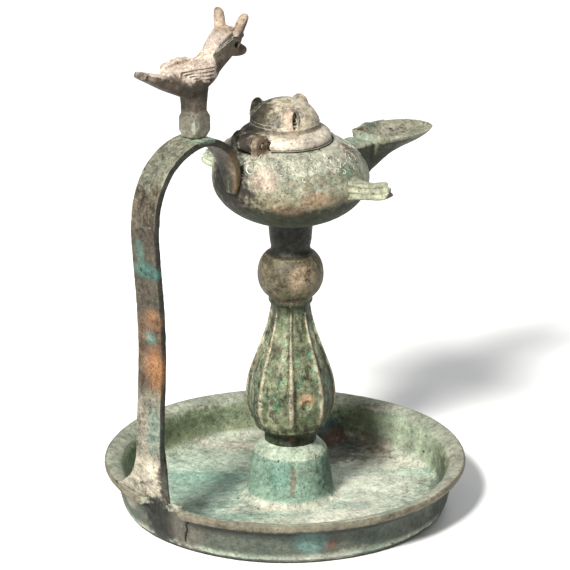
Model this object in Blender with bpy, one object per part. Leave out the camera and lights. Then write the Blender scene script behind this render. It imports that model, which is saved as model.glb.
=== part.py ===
"""Bronze oil lamp on a stem, in a round drip tray, with a strap handle and a bird finial.

Metres, +Z up. The origin is the centre of the tray's flat underside. The spout points
along +X, the strap handle stands at -X, and the side fins point along -Y and +Y.
"""

import math

import bmesh
import bpy
from mathutils import Vector

# Lengths below are millimetres, and this turns them into metres.
MM = 0.001
# Clearance between pieces that touch.
GAP = 0.3

# Tray
TRAY_RIM_RADIUS = 82.2
TRAY_WALL_RADIUS = 75.6
TRAY_BASE_RADIUS = 69.5
TRAY_HEIGHT = 22.0
TRAY_FLOOR = 3.2
TRAY_SEGMENTS = 42
# The rim's flange is broken away between these angles, next to the handle's foot.
BREAK_FROM_DEG = 173.5
BREAK_TO_DEG = 189.0

# The stem's axis stands a little off the tray's centre.
STEM_X = 1.7
STEM_Y = -1.8
BOSS_TOP = 30.0
STEM_TOP = 133.0
LOBES = 8
RIB_HEIGHT = 1.5
STEM_SEGMENTS = 40

# Reservoir
BODY_RADIUS = 34.8
BODY_BOTTOM = STEM_TOP + GAP
BODY_TOP = 172.2
BODY_SEGMENTS = 32
CAVITY_SEGMENTS = 24
MOUTH_RADIUS = 15.6
# The mouth and the lid sit this far toward the handle.
MOUTH_SHIFT = -3.7
WALL = 2.4

# Hinge and lid
HINGE_X = -25.4
HINGE_Z = 175.0
KNUCKLE_RADIUS = 4.4
PIN_RADIUS = 1.2
PIN_LENGTH = 16.6
LID_KNUCKLE_WIDTH = 7.6
LUG_WIDTH = 3.4
LUG_GAP = 0.4
LUG_ROOM_RADIUS = 5.5
LID_BOTTOM = BODY_TOP + GAP
LID_RADIUS = 20.2
DOME_RADIUS = 15.6
DOME_TOP = 190.4
LID_SEGMENTS = 28
# Directions of the three ears on the lid's dome, the height each one reaches, and half its width.
EARS = ((114.0, 189.6, 3.0), (234.0, 190.0, 3.8), (14.0, 189.4, 4.2))

# Bird finial
CROWN_X = -56.5
CROWN_TOP = 185.0


def clear_scene():
    for obj in list(bpy.data.objects):
        bpy.data.objects.remove(obj, do_unlink=True)


def make_material(name, colour, roughness, metallic):
    material = bpy.data.materials.new(name)
    material.use_nodes = True
    shader = material.node_tree.nodes["Principled BSDF"]
    shader.inputs["Base Color"].default_value = (*colour, 1.0)
    shader.inputs["Roughness"].default_value = roughness
    shader.inputs["Metallic"].default_value = metallic
    return material


def finish_object(name, bm, material):
    """Turn a closed mesh, in millimetres, into an object in metres."""
    bmesh.ops.remove_doubles(bm, verts=bm.verts, dist=1e-4)
    bmesh.ops.recalc_face_normals(bm, faces=bm.faces)
    bmesh.ops.scale(bm, verts=bm.verts, vec=(MM, MM, MM))
    mesh = bpy.data.meshes.new(name)
    bm.to_mesh(mesh)
    bm.free()
    mesh.shade_smooth()
    mesh.set_sharp_from_angle(angle=math.radians(35))
    obj = bpy.data.objects.new(name, mesh)
    bpy.context.scene.collection.objects.link(obj)
    if material:
        obj.data.materials.append(material)
    return obj


def loft(name, rings, material=None):
    """Skin a row of rings, each with the same number of points, and cap both ends."""
    bm = bmesh.new()
    rows = [[bm.verts.new(point) for point in ring] for ring in rings]
    for row, after in zip(rows, rows[1:]):
        for i in range(len(row)):
            j = (i + 1) % len(row)
            bm.faces.new((row[i], row[j], after[j], after[i]))
    bm.faces.new(rows[0])
    bm.faces.new(rows[-1])
    return finish_object(name, bm, material)


def lathe(name, outline, segments, material=None, reshape=None, centre=(0.0, 0.0)):
    """Spin an outline of (radius, height) about the vertical through centre."""
    bm = bmesh.new()
    points = [bm.verts.new((radius, 0.0, height)) for radius, height in outline]
    edges = [bm.edges.new(pair) for pair in zip(points, points[1:])]
    if outline[0][0] > 0.0:
        edges.append(bm.edges.new((points[-1], points[0])))
    bmesh.ops.spin(
        bm,
        geom=points + edges,
        axis=(0.0, 0.0, 1.0),
        cent=(0.0, 0.0, 0.0),
        steps=segments,
        angle=math.tau,
        use_merge=True,
    )
    for vert in bm.verts:
        if reshape:
            vert.co = reshape(vert.co)
        vert.co += Vector((centre[0], centre[1], 0.0))
    return finish_object(name, bm, material)


def hide_helper(helper):
    helper.hide_render = True
    helper.display_type = "WIRE"


def combine(target, helper, operation):
    hide_helper(helper)
    modifier = target.modifiers.new(helper.name, "BOOLEAN")
    modifier.operation = operation
    modifier.solver = "EXACT"
    modifier.object = helper


def add_to(target, helper):
    combine(target, helper, "UNION")


def cut_from(target, helper):
    combine(target, helper, "DIFFERENCE")


def smooth_path(points, steps):
    """Points along a Catmull-Rom curve through rows of numbers."""
    rows = [Vector(point) for point in points]
    rows = [2 * rows[0] - rows[1]] + rows + [2 * rows[-1] - rows[-2]]
    path = []
    for a, b, c, d in zip(rows, rows[1:], rows[2:], rows[3:]):
        for step in range(steps):
            t = step / steps
            path.append(
                0.5 * (2 * b + (c - a) * t + (2 * a - 5 * b + 4 * c - d) * t * t
                       + (3 * b - a - 3 * c + d) * t * t * t)
            )
    path.append(rows[-2])
    return path


def rounded_ring(centre, side, up, half_side, half_up, count, power=2.0):
    """A ring between an ellipse (power 2) and a rectangle (a high power)."""
    ring = []
    for i in range(count):
        angle = math.tau * (i + 0.5) / count
        c = math.cos(angle)
        s = math.sin(angle)
        across = math.copysign(abs(c) ** (2.0 / power), c) * half_side
        along = math.copysign(abs(s) ** (2.0 / power), s) * half_up
        ring.append(centre + side * across + up * along)
    return ring


def spine_rings(stations, y, count, power=2.0):
    """Rings square to a spine in the plane of y; a station is (x, z, half width, half depth)."""
    rings = []
    for i, (x, z, half_width, half_depth) in enumerate(stations):
        before = stations[max(i - 1, 0)]
        after = stations[min(i + 1, len(stations) - 1)]
        tangent = Vector((after[0] - before[0], 0.0, after[1] - before[1])).normalized()
        side = Vector((0.0, 1.0, 0.0))
        up = tangent.cross(side)
        centre = Vector((x, y, z))
        rings.append(rounded_ring(centre, side, up, half_width, half_depth, count, power))
    return rings


def y_cylinder(name, x, z, radius, y_from, y_to, count):
    side = Vector((1.0, 0.0, 0.0))
    up = Vector((0.0, 0.0, 1.0))
    centres = (Vector((x, y_from, z)), Vector((x, y_to, z)))
    return loft(name, [rounded_ring(centre, side, up, radius, radius, count) for centre in centres])


def tray_outline(grow=0.0):
    """Outer side from the rim's top edge down to the underside; grow makes it fatter."""
    return [
        (TRAY_RIM_RADIUS - 0.6, TRAY_HEIGHT + grow),
        (TRAY_RIM_RADIUS + grow, TRAY_HEIGHT - 1.2),
        (TRAY_RIM_RADIUS - 0.6 + grow, TRAY_HEIGHT - 3.2 - grow),
        (TRAY_WALL_RADIUS + 1.4 + grow, TRAY_HEIGHT - 5.4 - grow),
        (TRAY_WALL_RADIUS + grow, TRAY_HEIGHT - 8.4),
        (TRAY_WALL_RADIUS - 1.0 + grow, 6.0),
        (TRAY_WALL_RADIUS - 3.2 + grow, 1.2),
        (TRAY_BASE_RADIUS + grow, 0.0 - grow),
    ]


def tray_inner_outline():
    """Inner side, from the floor's centre out to the flange's top."""
    return [
        (0.0, TRAY_FLOOR),
        (62.0, TRAY_FLOOR + 0.1),
        (67.0, TRAY_FLOOR + 0.9),
        (70.6, TRAY_FLOOR + 3.4),
        (72.2, TRAY_FLOOR + 7.4),
        (73.4, TRAY_HEIGHT - 3.2),
        (75.4, TRAY_HEIGHT - 1.5),
        (79.6, TRAY_HEIGHT - 0.1),
        (TRAY_RIM_RADIUS - 0.6, TRAY_HEIGHT),
    ]


def build_tray(material):
    outline = tray_inner_outline() + tray_outline()[1:] + [(0.0, 0.0)]
    tray = lathe("tray", outline, TRAY_SEGMENTS, material)
    boss = lathe(
        "boss",
        [
            (0.0, BOSS_TOP),
            (12.2, BOSS_TOP),
            (16.4, BOSS_TOP - 3.8),
            (17.2, BOSS_TOP - 5.2),
            (18.5, 14.0),
            (19.9, 6.4),
            (21.2, 4.4),
            (24.0, 3.5),
            (24.4, 1.6),
            (0.0, 1.6),
        ],
        26,
        centre=(STEM_X, STEM_Y),
    )
    add_to(tray, boss)
    cut_from(tray, flange_break())
    return tray


def flange_break():
    """A jagged block over the lost stretch of the flange, outside the wall."""
    steps = 7
    inner = []
    outer = []
    for i in range(steps + 1):
        angle = math.radians(BREAK_FROM_DEG + (BREAK_TO_DEG - BREAK_FROM_DEG) * i / steps)
        jag = 0.7 * math.sin(2.6 * i)
        radius = TRAY_WALL_RADIUS + 0.6 + jag + (1.6 if i in (0, steps) else 0.0)
        direction = Vector((math.cos(angle), math.sin(angle), 0.0))
        inner.append(direction * radius)
        outer.append(direction * (TRAY_RIM_RADIUS + 6.0))
    ring = inner + outer[::-1]
    low = Vector((0.0, 0.0, 9.0))
    high = Vector((0.0, 0.0, TRAY_HEIGHT + 6.0))
    return loft("flange_break", [[point + low for point in ring], [point + high for point in ring]])


def lobe_radius(radius, height, angle):
    """The baluster's lobes: a narrow raised rib every eighth of a turn, hollowed between."""
    low, full_low, full_high, high = 38.0, 44.0, 80.0, 93.5
    rise = min(max((height - low) / (full_low - low), 0.0), 1.0)
    fall = min(max((high - height) / (high - full_high), 0.0), 1.0)
    strength = min(rise, fall)
    wave = math.cos(LOBES * angle)
    rib = max(wave, 0.0) ** 3
    return radius - RIB_HEIGHT * strength * (1.0 - rib) * (radius / 20.0) ** 0.5


def build_stem(material):
    outline = [
        (0.0, STEM_TOP),
        (10.2, STEM_TOP),
        (9.3, 125.0),
        (8.9, 120.4),
        (10.6, 118.9),
        (13.3, 115.6),
        (14.7, 110.6),
        (14.5, 106.0),
        (12.6, 101.4),
        (9.8, 98.2),
        (9.1, 95.4),
        (9.3, 91.5),
        (10.2, 87.3),
        (11.8, 81.5),
        (13.9, 75.8),
        (16.0, 70.0),
        (18.1, 64.3),
        (19.6, 58.4),
        (20.3, 51.5),
        (19.9, 46.0),
        (18.4, 41.8),
        (16.0, 38.4),
        (15.5, 37.0),
        (13.2, 36.0),
        (11.9, 34.8),
        (11.7, BOSS_TOP + GAP),
        (0.0, BOSS_TOP + GAP),
    ]

    def reshape(point):
        angle = math.atan2(point.y, point.x)
        radius = math.hypot(point.x, point.y)
        if radius < 0.01:
            return point
        ratio = lobe_radius(radius, point.z, angle) / radius
        return Vector((point.x * ratio, point.y * ratio, point.z))

    stem = lathe("stem", outline, STEM_SEGMENTS, material, reshape, (STEM_X, STEM_Y))
    # A small round recess in the lobe to the right of the rib that faces -X -Y.
    angle = math.radians(247.0)
    outward = Vector((math.cos(angle), math.sin(angle), -0.15)).normalized()
    centre = Vector((STEM_X, STEM_Y, 54.8))
    side = Vector((-math.sin(angle), math.cos(angle), 0.0))
    up = outward.cross(side)
    rings = [rounded_ring(centre + outward * reach, side, up, 2.4, 2.4, 14) for reach in (16.6, 24.0)]
    cut_from(stem, loft("stem_recess", rings))
    return stem


def body_shift(height):
    """How far the body's rings lean toward the handle, at a height."""
    t = min(max((height - 154.0) / (BODY_TOP - 154.0), 0.0), 1.0)
    return MOUTH_SHIFT * t * t * (3.0 - 2.0 * t)


def lean_body(point):
    return Vector((point.x + body_shift(point.z), point.y, point.z))


def body_outline(grow=0.0):
    """The reservoir's outer side, from the mouth's flat ring down to its underside."""
    return [
        (20.6 + grow, BODY_TOP + grow),
        (23.6 + grow, 171.2 + grow),
        (27.8 + grow, 168.4 + 0.8 * grow),
        (31.4 + grow, 164.4 + 0.5 * grow),
        (33.9 + grow, 159.6),
        (BODY_RADIUS + grow, 154.4),
        (34.0 + grow, 149.6),
        (31.4 + grow, 145.0 - 0.5 * grow),
        (26.8 + grow, 140.6 - 0.8 * grow),
        (20.0, 136.8 - grow),
        (13.6, 134.4 - grow),
        (10.4, BODY_BOTTOM - grow),
    ]


def spout_half_ring(x, half_width, top, keel, power, steps=8):
    """Points down from the +Y edge of the rim, round the keel and up to the -Y edge."""
    points = []
    for i in range(steps + 1):
        share = math.cos(math.pi * i / steps)
        depth = (1.0 - abs(share) ** power) * (top - keel)
        points.append(Vector((x, share * half_width, top - depth)))
    return points


# Stations along the spout: x, half width, rim height, keel height, fullness of the section.
CHANNEL = (
    (26.0, 6.9, 160.6, 142.6, 3.4),
    (38.0, 6.9, 160.9, 142.4, 3.2),
    (45.0, 6.9, 161.2, 143.0, 3.0),
    (48.2, 7.0, 161.3, 144.0, 2.8),
)
LEAF = (
    (48.7, 8.2, 162.6, 144.6, 2.5),
    (51.3, 10.3, 162.5, 146.2, 2.2),
    (54.4, 11.8, 162.4, 148.0, 2.0),
    (58.6, 13.4, 162.2, 150.2, 1.8),
    (64.4, 15.2, 161.9, 152.2, 1.7),
    (71.0, 14.8, 161.5, 153.2, 1.7),
    (77.0, 12.6, 161.1, 154.2, 1.7),
    (82.4, 9.2, 160.8, 155.6, 1.7),
    (86.4, 5.6, 160.5, 157.0, 1.7),
    (88.8, 2.4, 160.4, 158.4, 1.7),
)


def build_spout():
    rings = [spout_half_ring(*station) for station in CHANNEL + LEAF]
    return loft("spout", rings)


def trough_cutter():
    """The open leaf-shaped trough, inside the leaf's walls."""
    rings = []
    for x, half_width, top, keel, power in LEAF[1:-1]:
        inner_width = max(half_width - 2.3, 1.2)
        inner_keel = min(keel + 2.6, top - 1.4)
        floor = spout_half_ring(x if x < 80.0 else x - 1.2, inner_width, top + 0.4, inner_keel, power)
        lift = Vector((0.0, 0.0, 6.0))
        rings.append([floor[0] + lift] + floor + [floor[-1] + lift])
    return loft("trough_cutter", rings)


# Stations along a fin: share of its length, height scale and half thickness.
FIN_STATIONS = ((0.0, 1.7, 5.6), (0.28, 1.15, 3.3), (0.55, 1.0, 2.5), (0.88, 0.98, 2.2), (1.0, 0.8, 1.4))
# How far each finger's tip stands back from the fin's tip, from the lowest finger up.
FINGER_REACH = (0.0, -1.2, -3.4)


def build_fin(name, x, y_root, y_tip, z_root, rise):
    """An upright fin of three stacked fingers that rises toward its notched tip."""
    fingers = 3
    per_finger = 3
    half_height = 3.9
    rings = []
    for share, height_scale, half_thick in FIN_STATIONS:
        outline = []
        for face in (1.0, -1.0):
            for i in range(fingers * per_finger + 1):
                u = i / (fingers * per_finger)
                within = (u * fingers) % 1.0
                bulge = math.sin(math.pi * within)
                finger = min(int(u * fingers), fingers - 1)
                if face < 0.0:
                    u = 1.0 - u
                    finger = fingers - 1 - finger
                reach = FINGER_REACH[finger] * share ** 6
                edge = 0.35 if u in (0.0, 1.0) else 1.0
                thick = half_thick * (0.74 + 0.26 * bulge) * edge
                direction = math.copysign(1.0, y_tip)
                y = y_root + (y_tip - y_root) * share + direction * reach
                z = z_root + rise * share * share + (2.0 * u - 1.0) * half_height * height_scale
                outline.append(Vector((x + face * thick, y, z)))
        rings.append(outline)
    return loft(name, rings)


def build_lug(name, y_middle):
    """A hinge lug: a round plate on the shoulder with a foot that runs into it."""
    centre = Vector((HINGE_X, 0.0, HINGE_Z))
    outline = []
    count = 14
    for i in range(count + 1):
        angle = math.radians(-20.0 + 220.0 * i / count)
        outline.append(centre + Vector((math.cos(angle), 0.0, math.sin(angle))) * KNUCKLE_RADIUS)
    outline.append(Vector((HINGE_X - 4.4, 0.0, 165.0)))
    outline.append(Vector((HINGE_X + 4.6, 0.0, 168.4)))
    rings = []
    for side in (-0.5, 0.5):
        offset = Vector((0.0, y_middle + side * LUG_WIDTH, 0.0))
        rings.append([point + offset for point in outline])
    return loft(name, rings)


def build_reservoir(material):
    centre = (STEM_X, STEM_Y)
    outline = [(0.0, BODY_TOP)] + body_outline() + [(0.0, BODY_BOTTOM)]
    reservoir = lathe("oil_reservoir", outline, BODY_SEGMENTS, material, lean_body, centre)
    helpers = [
        build_spout(),
        build_fin("fin_near", 4.0, -29.0, -56.6, 154.6, 4.4),
        build_fin("fin_far", -4.0, 29.0, 51.4, 152.8, 1.8),
    ]
    lug_middle = (LID_KNUCKLE_WIDTH + LUG_WIDTH) / 2 + LUG_GAP
    helpers.append(build_lug("lug_near", -lug_middle))
    helpers.append(build_lug("lug_far", lug_middle))
    for helper in helpers:
        helper.location = (STEM_X * MM, STEM_Y * MM, 0.0)
        add_to(reservoir, helper)
    inner = [(0.0, BODY_TOP + 4.0), (MOUTH_RADIUS, BODY_TOP + 4.0), (MOUTH_RADIUS, BODY_TOP - 2.0)]
    inner += [(radius - WALL, min(height, BODY_TOP - 1.6) - 1.0) for radius, height in body_outline()[1:5]]
    inner.append((BODY_RADIUS - WALL, 154.4))
    inner += [(radius - 0.9 * WALL, height + 1.3) for radius, height in body_outline()[6:9]]
    inner += [(18.6, 139.0), (12.0, 136.8), (0.0, 136.2)]
    cutters = [
        lathe("cavity_cutter", inner, CAVITY_SEGMENTS, None, lean_body),
        trough_cutter(),
        channel_cutter(),
        y_cylinder("lug_bore", HINGE_X, HINGE_Z, PIN_RADIUS + GAP, -14.0, 14.0, 12),
        shoulder_relief(),
    ]
    for cutter in cutters:
        cutter.location = (STEM_X * MM, STEM_Y * MM, 0.0)
        cut_from(reservoir, cutter)
    return reservoir


CHANNEL_HALF_WIDTH = 4.4


def channel_cutter():
    """The oil channel from the reservoir, under the flat top, into the trough."""
    side = Vector((0.0, 1.0, 0.0))
    up = Vector((0.0, 0.0, 1.0))
    rings = []
    for x, low, high in ((24.0, 146.0, 157.4), (44.0, 147.4, 158.2), (54.0, 150.6, 158.6)):
        centre = Vector((x, 0.0, (low + high) / 2))
        rings.append(rounded_ring(centre, side, up, CHANNEL_HALF_WIDTH, (high - low) / 2, 12, 3.0))
    return loft("channel_cutter", rings)


def shoulder_relief():
    """Room in the shoulder for the lid's knuckle to turn."""
    reach = LID_KNUCKLE_WIDTH / 2 + LUG_GAP
    return y_cylinder("shoulder_relief", HINGE_X, HINGE_Z, KNUCKLE_RADIUS + 0.5, -reach, reach, 16)


def build_lid(material):
    """A hollow dome on a thick sloping flange, with a knuckle at the handle side."""
    wall = 2.2
    outline = [
        (0.0, DOME_TOP),
        (5.6, DOME_TOP - 0.6),
        (10.0, DOME_TOP - 2.6),
        (13.4, DOME_TOP - 6.0),
        (15.2, DOME_TOP - 9.6),
        (DOME_RADIUS, DOME_TOP - 12.0),
        (17.4, 177.4),
        (19.4, 176.0),
        (20.4, 174.4),
        (LID_RADIUS, LID_BOTTOM),
        (13.0, LID_BOTTOM),
        (13.2, 177.0),
        (DOME_RADIUS - wall - 0.4, DOME_TOP - 10.4),
        (11.2, DOME_TOP - 6.6),
        (8.4, DOME_TOP - 4.2),
        (4.6, DOME_TOP - 2.7),
        (0.0, DOME_TOP - 2.3),
    ]
    lid = lathe("lid", outline, LID_SEGMENTS, material)
    # The lid's own parts are made about its hinge axis, which is its origin.
    middle = Vector((MOUTH_SHIFT + STEM_X, STEM_Y, 0.0)) * MM
    axis = Vector((HINGE_X + STEM_X, STEM_Y, HINGE_Z)) * MM
    for vert in lid.data.vertices:
        vert.co += middle - axis
    lid.location = axis
    for number, (angle_deg, top, half_width) in enumerate(EARS, 1):
        ear = build_ear(f"lid_ear_{number}", math.radians(angle_deg), top, half_width)
        ear.location = middle
        add_to(lid, ear)
    reach = LID_KNUCKLE_WIDTH / 2
    centre = Vector((HINGE_X, 0.0, HINGE_Z))
    outline = []
    count = 14
    for i in range(count + 1):
        angle = math.radians(60.0 + 190.0 * i / count)
        direction = Vector((math.cos(angle), 0.0, math.sin(angle)))
        outline.append(centre + direction * (KNUCKLE_RADIUS - 0.1))
    outline.append(Vector((HINGE_X + 1.6, 0.0, LID_BOTTOM)))
    outline.append(Vector((HINGE_X + 8.6, 0.0, LID_BOTTOM + 0.2)))
    outline.append(Vector((HINGE_X + 8.6, 0.0, HINGE_Z + 1.6)))
    ends = (Vector((0.0, -reach, 0.0)), Vector((0.0, reach, 0.0)))
    knuckle = loft("lid_knuckle", [[point + end for point in outline] for end in ends])
    knuckle.location = (STEM_X * MM, STEM_Y * MM, 0.0)
    add_to(lid, knuckle)
    cutters = [y_cylinder("lid_bore", HINGE_X, HINGE_Z, PIN_RADIUS + GAP, -9.0, 9.0, 12)]
    # The flange is cut away round the hinge axis where the lugs stand.
    for side in (-1.0, 1.0):
        ends = sorted((side * reach, side * (reach + LUG_WIDTH + 2.5 * LUG_GAP)))
        which = "near" if side < 0.0 else "far"
        cutters.append(y_cylinder(f"lug_room_{which}", HINGE_X, HINGE_Z, LUG_ROOM_RADIUS, *ends, 16))
    for cutter in cutters:
        cutter.location = knuckle.location
        cut_from(lid, cutter)
    return lid


def build_ear(name, angle, top, half_width):
    """A small round-topped ear on the dome's shoulder."""
    outward = Vector((math.cos(angle), math.sin(angle), 0.0))
    side = Vector((-math.sin(angle), math.cos(angle), 0.0))
    foot = top - 9.8
    rings = []
    for height, reach, width_share, half_out in (
        (foot, 14.4, 0.8, 1.4),
        (foot + 3.4, 13.8, 1.0, 1.9),
        (foot + 6.2, 13.1, 0.96, 2.2),
        (foot + 8.4, 12.8, 0.7, 1.9),
        (top, 12.6, 0.3, 0.9),
    ):
        centre = outward * reach + Vector((0.0, 0.0, height))
        rings.append(rounded_ring(centre, side, outward, half_width * width_share, half_out, 10, 2.2))
    return loft(name, rings)


def build_pin(material):
    pin = y_cylinder("hinge_pin", 0.0, 0.0, PIN_RADIUS, -PIN_LENGTH / 2, PIN_LENGTH / 2, 12)
    pin.data.materials.append(material)
    pin.location = Vector((HINGE_X + STEM_X, STEM_Y, HINGE_Z)) * MM
    return pin


# The strap's middle line from above its foot, up, over the crown and down to the body:
# x, y, z, width and thickness.
STRAP = (
    (-77.4, 7.0, 48.0, 15.2, 3.6),
    (-77.0, 6.4, 68.0, 15.0, 3.4),
    (-76.8, 5.6, 90.0, 15.0, 3.4),
    (-78.6, 4.4, 112.0, 15.0, 3.4),
    (-81.8, 3.0, 135.0, 15.0, 3.4),
    (-83.4, 2.0, 150.0, 15.0, 3.4),
    (-81.8, 1.2, 163.0, 15.0, 3.4),
    (-75.2, 0.4, 174.8, 15.0, 3.4),
    (-65.2, -0.6, 181.6, 15.0, 3.4),
    (-55.6, -1.2, 183.2, 14.6, 3.4),
    (-45.4, -1.6, 179.4, 13.6, 3.4),
    (-38.2, -1.8, 171.0, 12.0, 3.4),
    (-35.2, -1.8, 162.0, 9.4, 3.2),
    (-35.0, -1.8, 154.6, 5.4, 2.4),
)

# Corners of the foot where it meets the flange, in plan: outer near, outer far, inner far
# and inner near. The near ones stand apart, so the foot's near side is a broad wedge.
FOOT_Z = 22.4
FOOT_BOTTOM = 20.1
FOOT_CORNERS = ((-76.8, 14.6), (-75.2, 30.4), (-69.6, 26.6), (-76.3, -5.8))
FOOT_STEPS = 6
# How late each corner sweeps outward as it comes down.
FOOT_SWEEPS = (3.6, 3.0, 2.4, 1.0)
FOOT_BEVEL = 0.7


def cornered_ring(corners, bevel):
    """Three points at each corner of a four-sided ring, so that its edges are bevelled."""
    ring = []
    for i, corner in enumerate(corners):
        before = (corners[i - 1] - corner).normalized() * bevel
        after = (corners[(i + 1) % 4] - corner).normalized() * bevel
        ring.append(corner + before)
        ring.append(corner + 0.3 * (before + after))
        ring.append(corner + after)
    return ring


def strap_corners(row, tangent):
    """The four corners of the strap: outer near, outer far, inner far, inner near."""
    centre = Vector(row[:3])
    side = Vector((0.0, 1.0, 0.0)) * (row[3] / 2)
    out = tangent.cross(side).normalized() * (row[4] / 2)
    return [centre + out - side, centre + out + side, centre - out + side, centre - out - side]


def foot_rings(top_corners):
    """The foot spreads along the rim in a hollow sweep, thick at its near side."""
    rings = [cornered_ring([Vector((x, y, FOOT_BOTTOM)) for x, y in FOOT_CORNERS], FOOT_BEVEL)]
    for step in range(FOOT_STEPS, 0, -1):
        t = step / FOOT_STEPS
        corners = []
        for corner, (x, y), power in zip(top_corners, FOOT_CORNERS, FOOT_SWEEPS):
            spread = t ** power
            corners.append(
                Vector((
                    corner.x + (x - corner.x) * spread,
                    corner.y + (y - corner.y) * spread,
                    corner.z + (FOOT_Z - corner.z) * t,
                ))
            )
        rings.append(cornered_ring(corners, FOOT_BEVEL))
    return rings


def build_strap(material):
    path = smooth_path(STRAP, 2)
    corner_rows = []
    for i, row in enumerate(path):
        before = path[max(i - 1, 0)]
        after = path[min(i + 1, len(path) - 1)]
        tangent = Vector((after[0] - before[0], 0.0, after[2] - before[2])).normalized()
        corner_rows.append(strap_corners(row, tangent))
    rings = foot_rings(corner_rows[0])
    rings += [cornered_ring(corners, FOOT_BEVEL) for corners in corner_rows]
    strap = loft("handle_strap", rings, material)
    seat = [(radius - GAP, height + GAP) for radius, height in tray_inner_outline()[4:-1]]
    seat += tray_outline(GAP)[:-2]
    cut_from(strap, lathe("strap_seat", seat, TRAY_SEGMENTS))
    rest = [(0.0, BODY_TOP + GAP)] + body_outline(GAP) + [(0.0, BODY_BOTTOM - GAP)]
    cut_from(strap, lathe("strap_rest", rest, BODY_SEGMENTS, None, lean_body, (STEM_X, STEM_Y)))
    return strap


def build_bird(material):
    """A bird with scalloped wings, two horns and a pierced eye, on a post over a bead."""
    y = -1.2
    bead_low = CROWN_TOP + GAP
    bead = bmesh.new()
    bmesh.ops.create_cube(bead, size=1.0)
    bmesh.ops.scale(bead, verts=bead.verts, vec=(9.6, 9.6, 11.4))
    bmesh.ops.bevel(bead, geom=bead.verts[:], offset=2.7, affect="VERTICES", segments=1)
    bmesh.ops.translate(bead, verts=bead.verts, vec=(CROWN_X, y, bead_low + 5.7))
    bird = finish_object("bird_finial", bead, material)
    across = Vector((0.0, 1.0, 0.0))
    along = Vector((1.0, 0.0, 0.0))
    post = []
    for rise, half in ((9.0, 4.6), (14.0, 4.7), (22.0, 5.4), (26.0, 5.6)):
        centre = Vector((CROWN_X - 0.4, y, bead_low + rise))
        post.append(rounded_ring(centre, across, along, half, half, 12, 4.0))
    add_to(bird, loft("bird_post", post))
    body = (
        (-74.6, 214.6, 3.6, 1.8),
        (-70.0, 213.4, 6.2, 3.6),
        (-64.0, 211.8, 7.6, 5.2),
        (-57.0, 211.4, 7.8, 5.8),
        (-51.0, 213.4, 6.8, 5.6),
        (-46.6, 216.4, 5.0, 5.2),
    )
    add_to(bird, loft("bird_body", spine_rings(body, y, 12, 2.6)))
    head = (
        (-52.0, 211.6, 4.2, 5.0),
        (-46.4, 216.6, 4.4, 5.2),
        (-41.6, 220.8, 4.9, 5.6),
        (-38.0, 224.0, 5.6, 5.4),
        (-35.4, 227.2, 5.6, 3.8),
        (-34.6, 229.2, 4.4, 2.2),
    )
    add_to(bird, loft("bird_head", spine_rings(head, y, 12, 5.0)))
    tail = (
        (-88.2, 218.2, 3.6, 1.5),
        (-82.0, 215.6, 4.4, 2.3),
        (-73.0, 211.6, 5.6, 3.2),
        (-62.0, 207.2, 6.0, 4.0),
    )
    add_to(bird, loft("bird_tail", spine_rings(tail, y, 10, 3.4)))
    for side in (-1.0, 1.0):
        which = "near" if side < 0.0 else "far"
        add_to(bird, build_wing(f"bird_wing_{which}", side, y))
        add_to(bird, build_horn(f"bird_horn_{which}", side, y))
    beak = (
        (-36.4, 220.6, 4.2, 4.0),
        (-31.0, 218.4, 3.4, 3.0),
        (-27.6, 217.4, 2.4, 2.0),
        (-26.0, 217.0, 1.2, 1.2),
    )
    add_to(bird, loft("bird_beak", spine_rings(beak, y, 10, 2.4)))
    brow = (
        (-34.0, 225.2, 2.6, 2.2),
        (-29.0, 224.2, 2.0, 1.8),
        (-27.4, 223.8, 1.0, 1.0),
    )
    add_to(bird, loft("bird_brow", spine_rings(brow, y, 10, 2.2)))
    cut_from(bird, y_cylinder("bird_eye", -34.2, 221.2, 1.3, y - 9.0, y + 9.0, 12))
    return bird


def build_horn(name, side, y):
    """A round-ended horn that leans outward from the top of the head."""
    horn = (
        (-36.2, 226.0, 2.6, 2.6),
        (-35.6, 229.8, 2.5, 2.4),
        (-34.8, 233.2, 2.3, 2.2),
        (-34.4, 235.2, 1.8, 1.7),
        (-34.2, 236.2, 0.9, 0.8),
    )
    rings = spine_rings(horn, y, 10)
    for station, ring in enumerate(rings):
        for point in ring:
            point.y += side * (4.6 + 0.9 * station) - 0.4
    return loft(name, rings)


def build_wing(name, side, y):
    """A folded wing: a raised plate along the body whose edges end in feather tips."""
    feathers = 4
    length = 18.4
    front_x = -52.4
    count = 16
    upper = []
    lower = []
    for i in range(count + 1):
        t = i / count
        x = front_x - length * t
        scallop = abs(math.sin(math.pi * feathers * t))
        upper.append(Vector((x, 0.0, 217.4 + 1.2 * math.sin(math.pi * t) + 0.5 * scallop)))
        lower.append(Vector((x, 0.0, 210.4 + 4.8 * t * t - 0.9 * scallop)))
    outline = upper + lower[::-1]
    inner = [point + Vector((0.0, y + side * 3.0, 0.0)) for point in outline]
    outer = []
    for point in outline:
        t = (front_x - point.x) / length
        outer.append(point + Vector((0.0, y + side * (8.2 - 2.0 * t), 0.0)))
    return loft(name, [inner, outer])


def main():
    clear_scene()
    verdigris = make_material("verdigris", (0.34, 0.42, 0.36), 0.78, 0.25)
    dark_bronze = make_material("dark_bronze", (0.16, 0.15, 0.10), 0.6, 0.6)
    grey_green = make_material("grey_green", (0.36, 0.36, 0.29), 0.74, 0.3)
    brown_crust = make_material("brown_crust", (0.30, 0.22, 0.14), 0.76, 0.35)
    pale_crust = make_material("pale_crust", (0.52, 0.44, 0.36), 0.8, 0.2)
    build_tray(verdigris)
    build_stem(dark_bronze)
    build_reservoir(grey_green)
    build_strap(brown_crust)
    build_bird(pale_crust)
    build_lid(pale_crust)
    build_pin(dark_bronze)


main()
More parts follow.
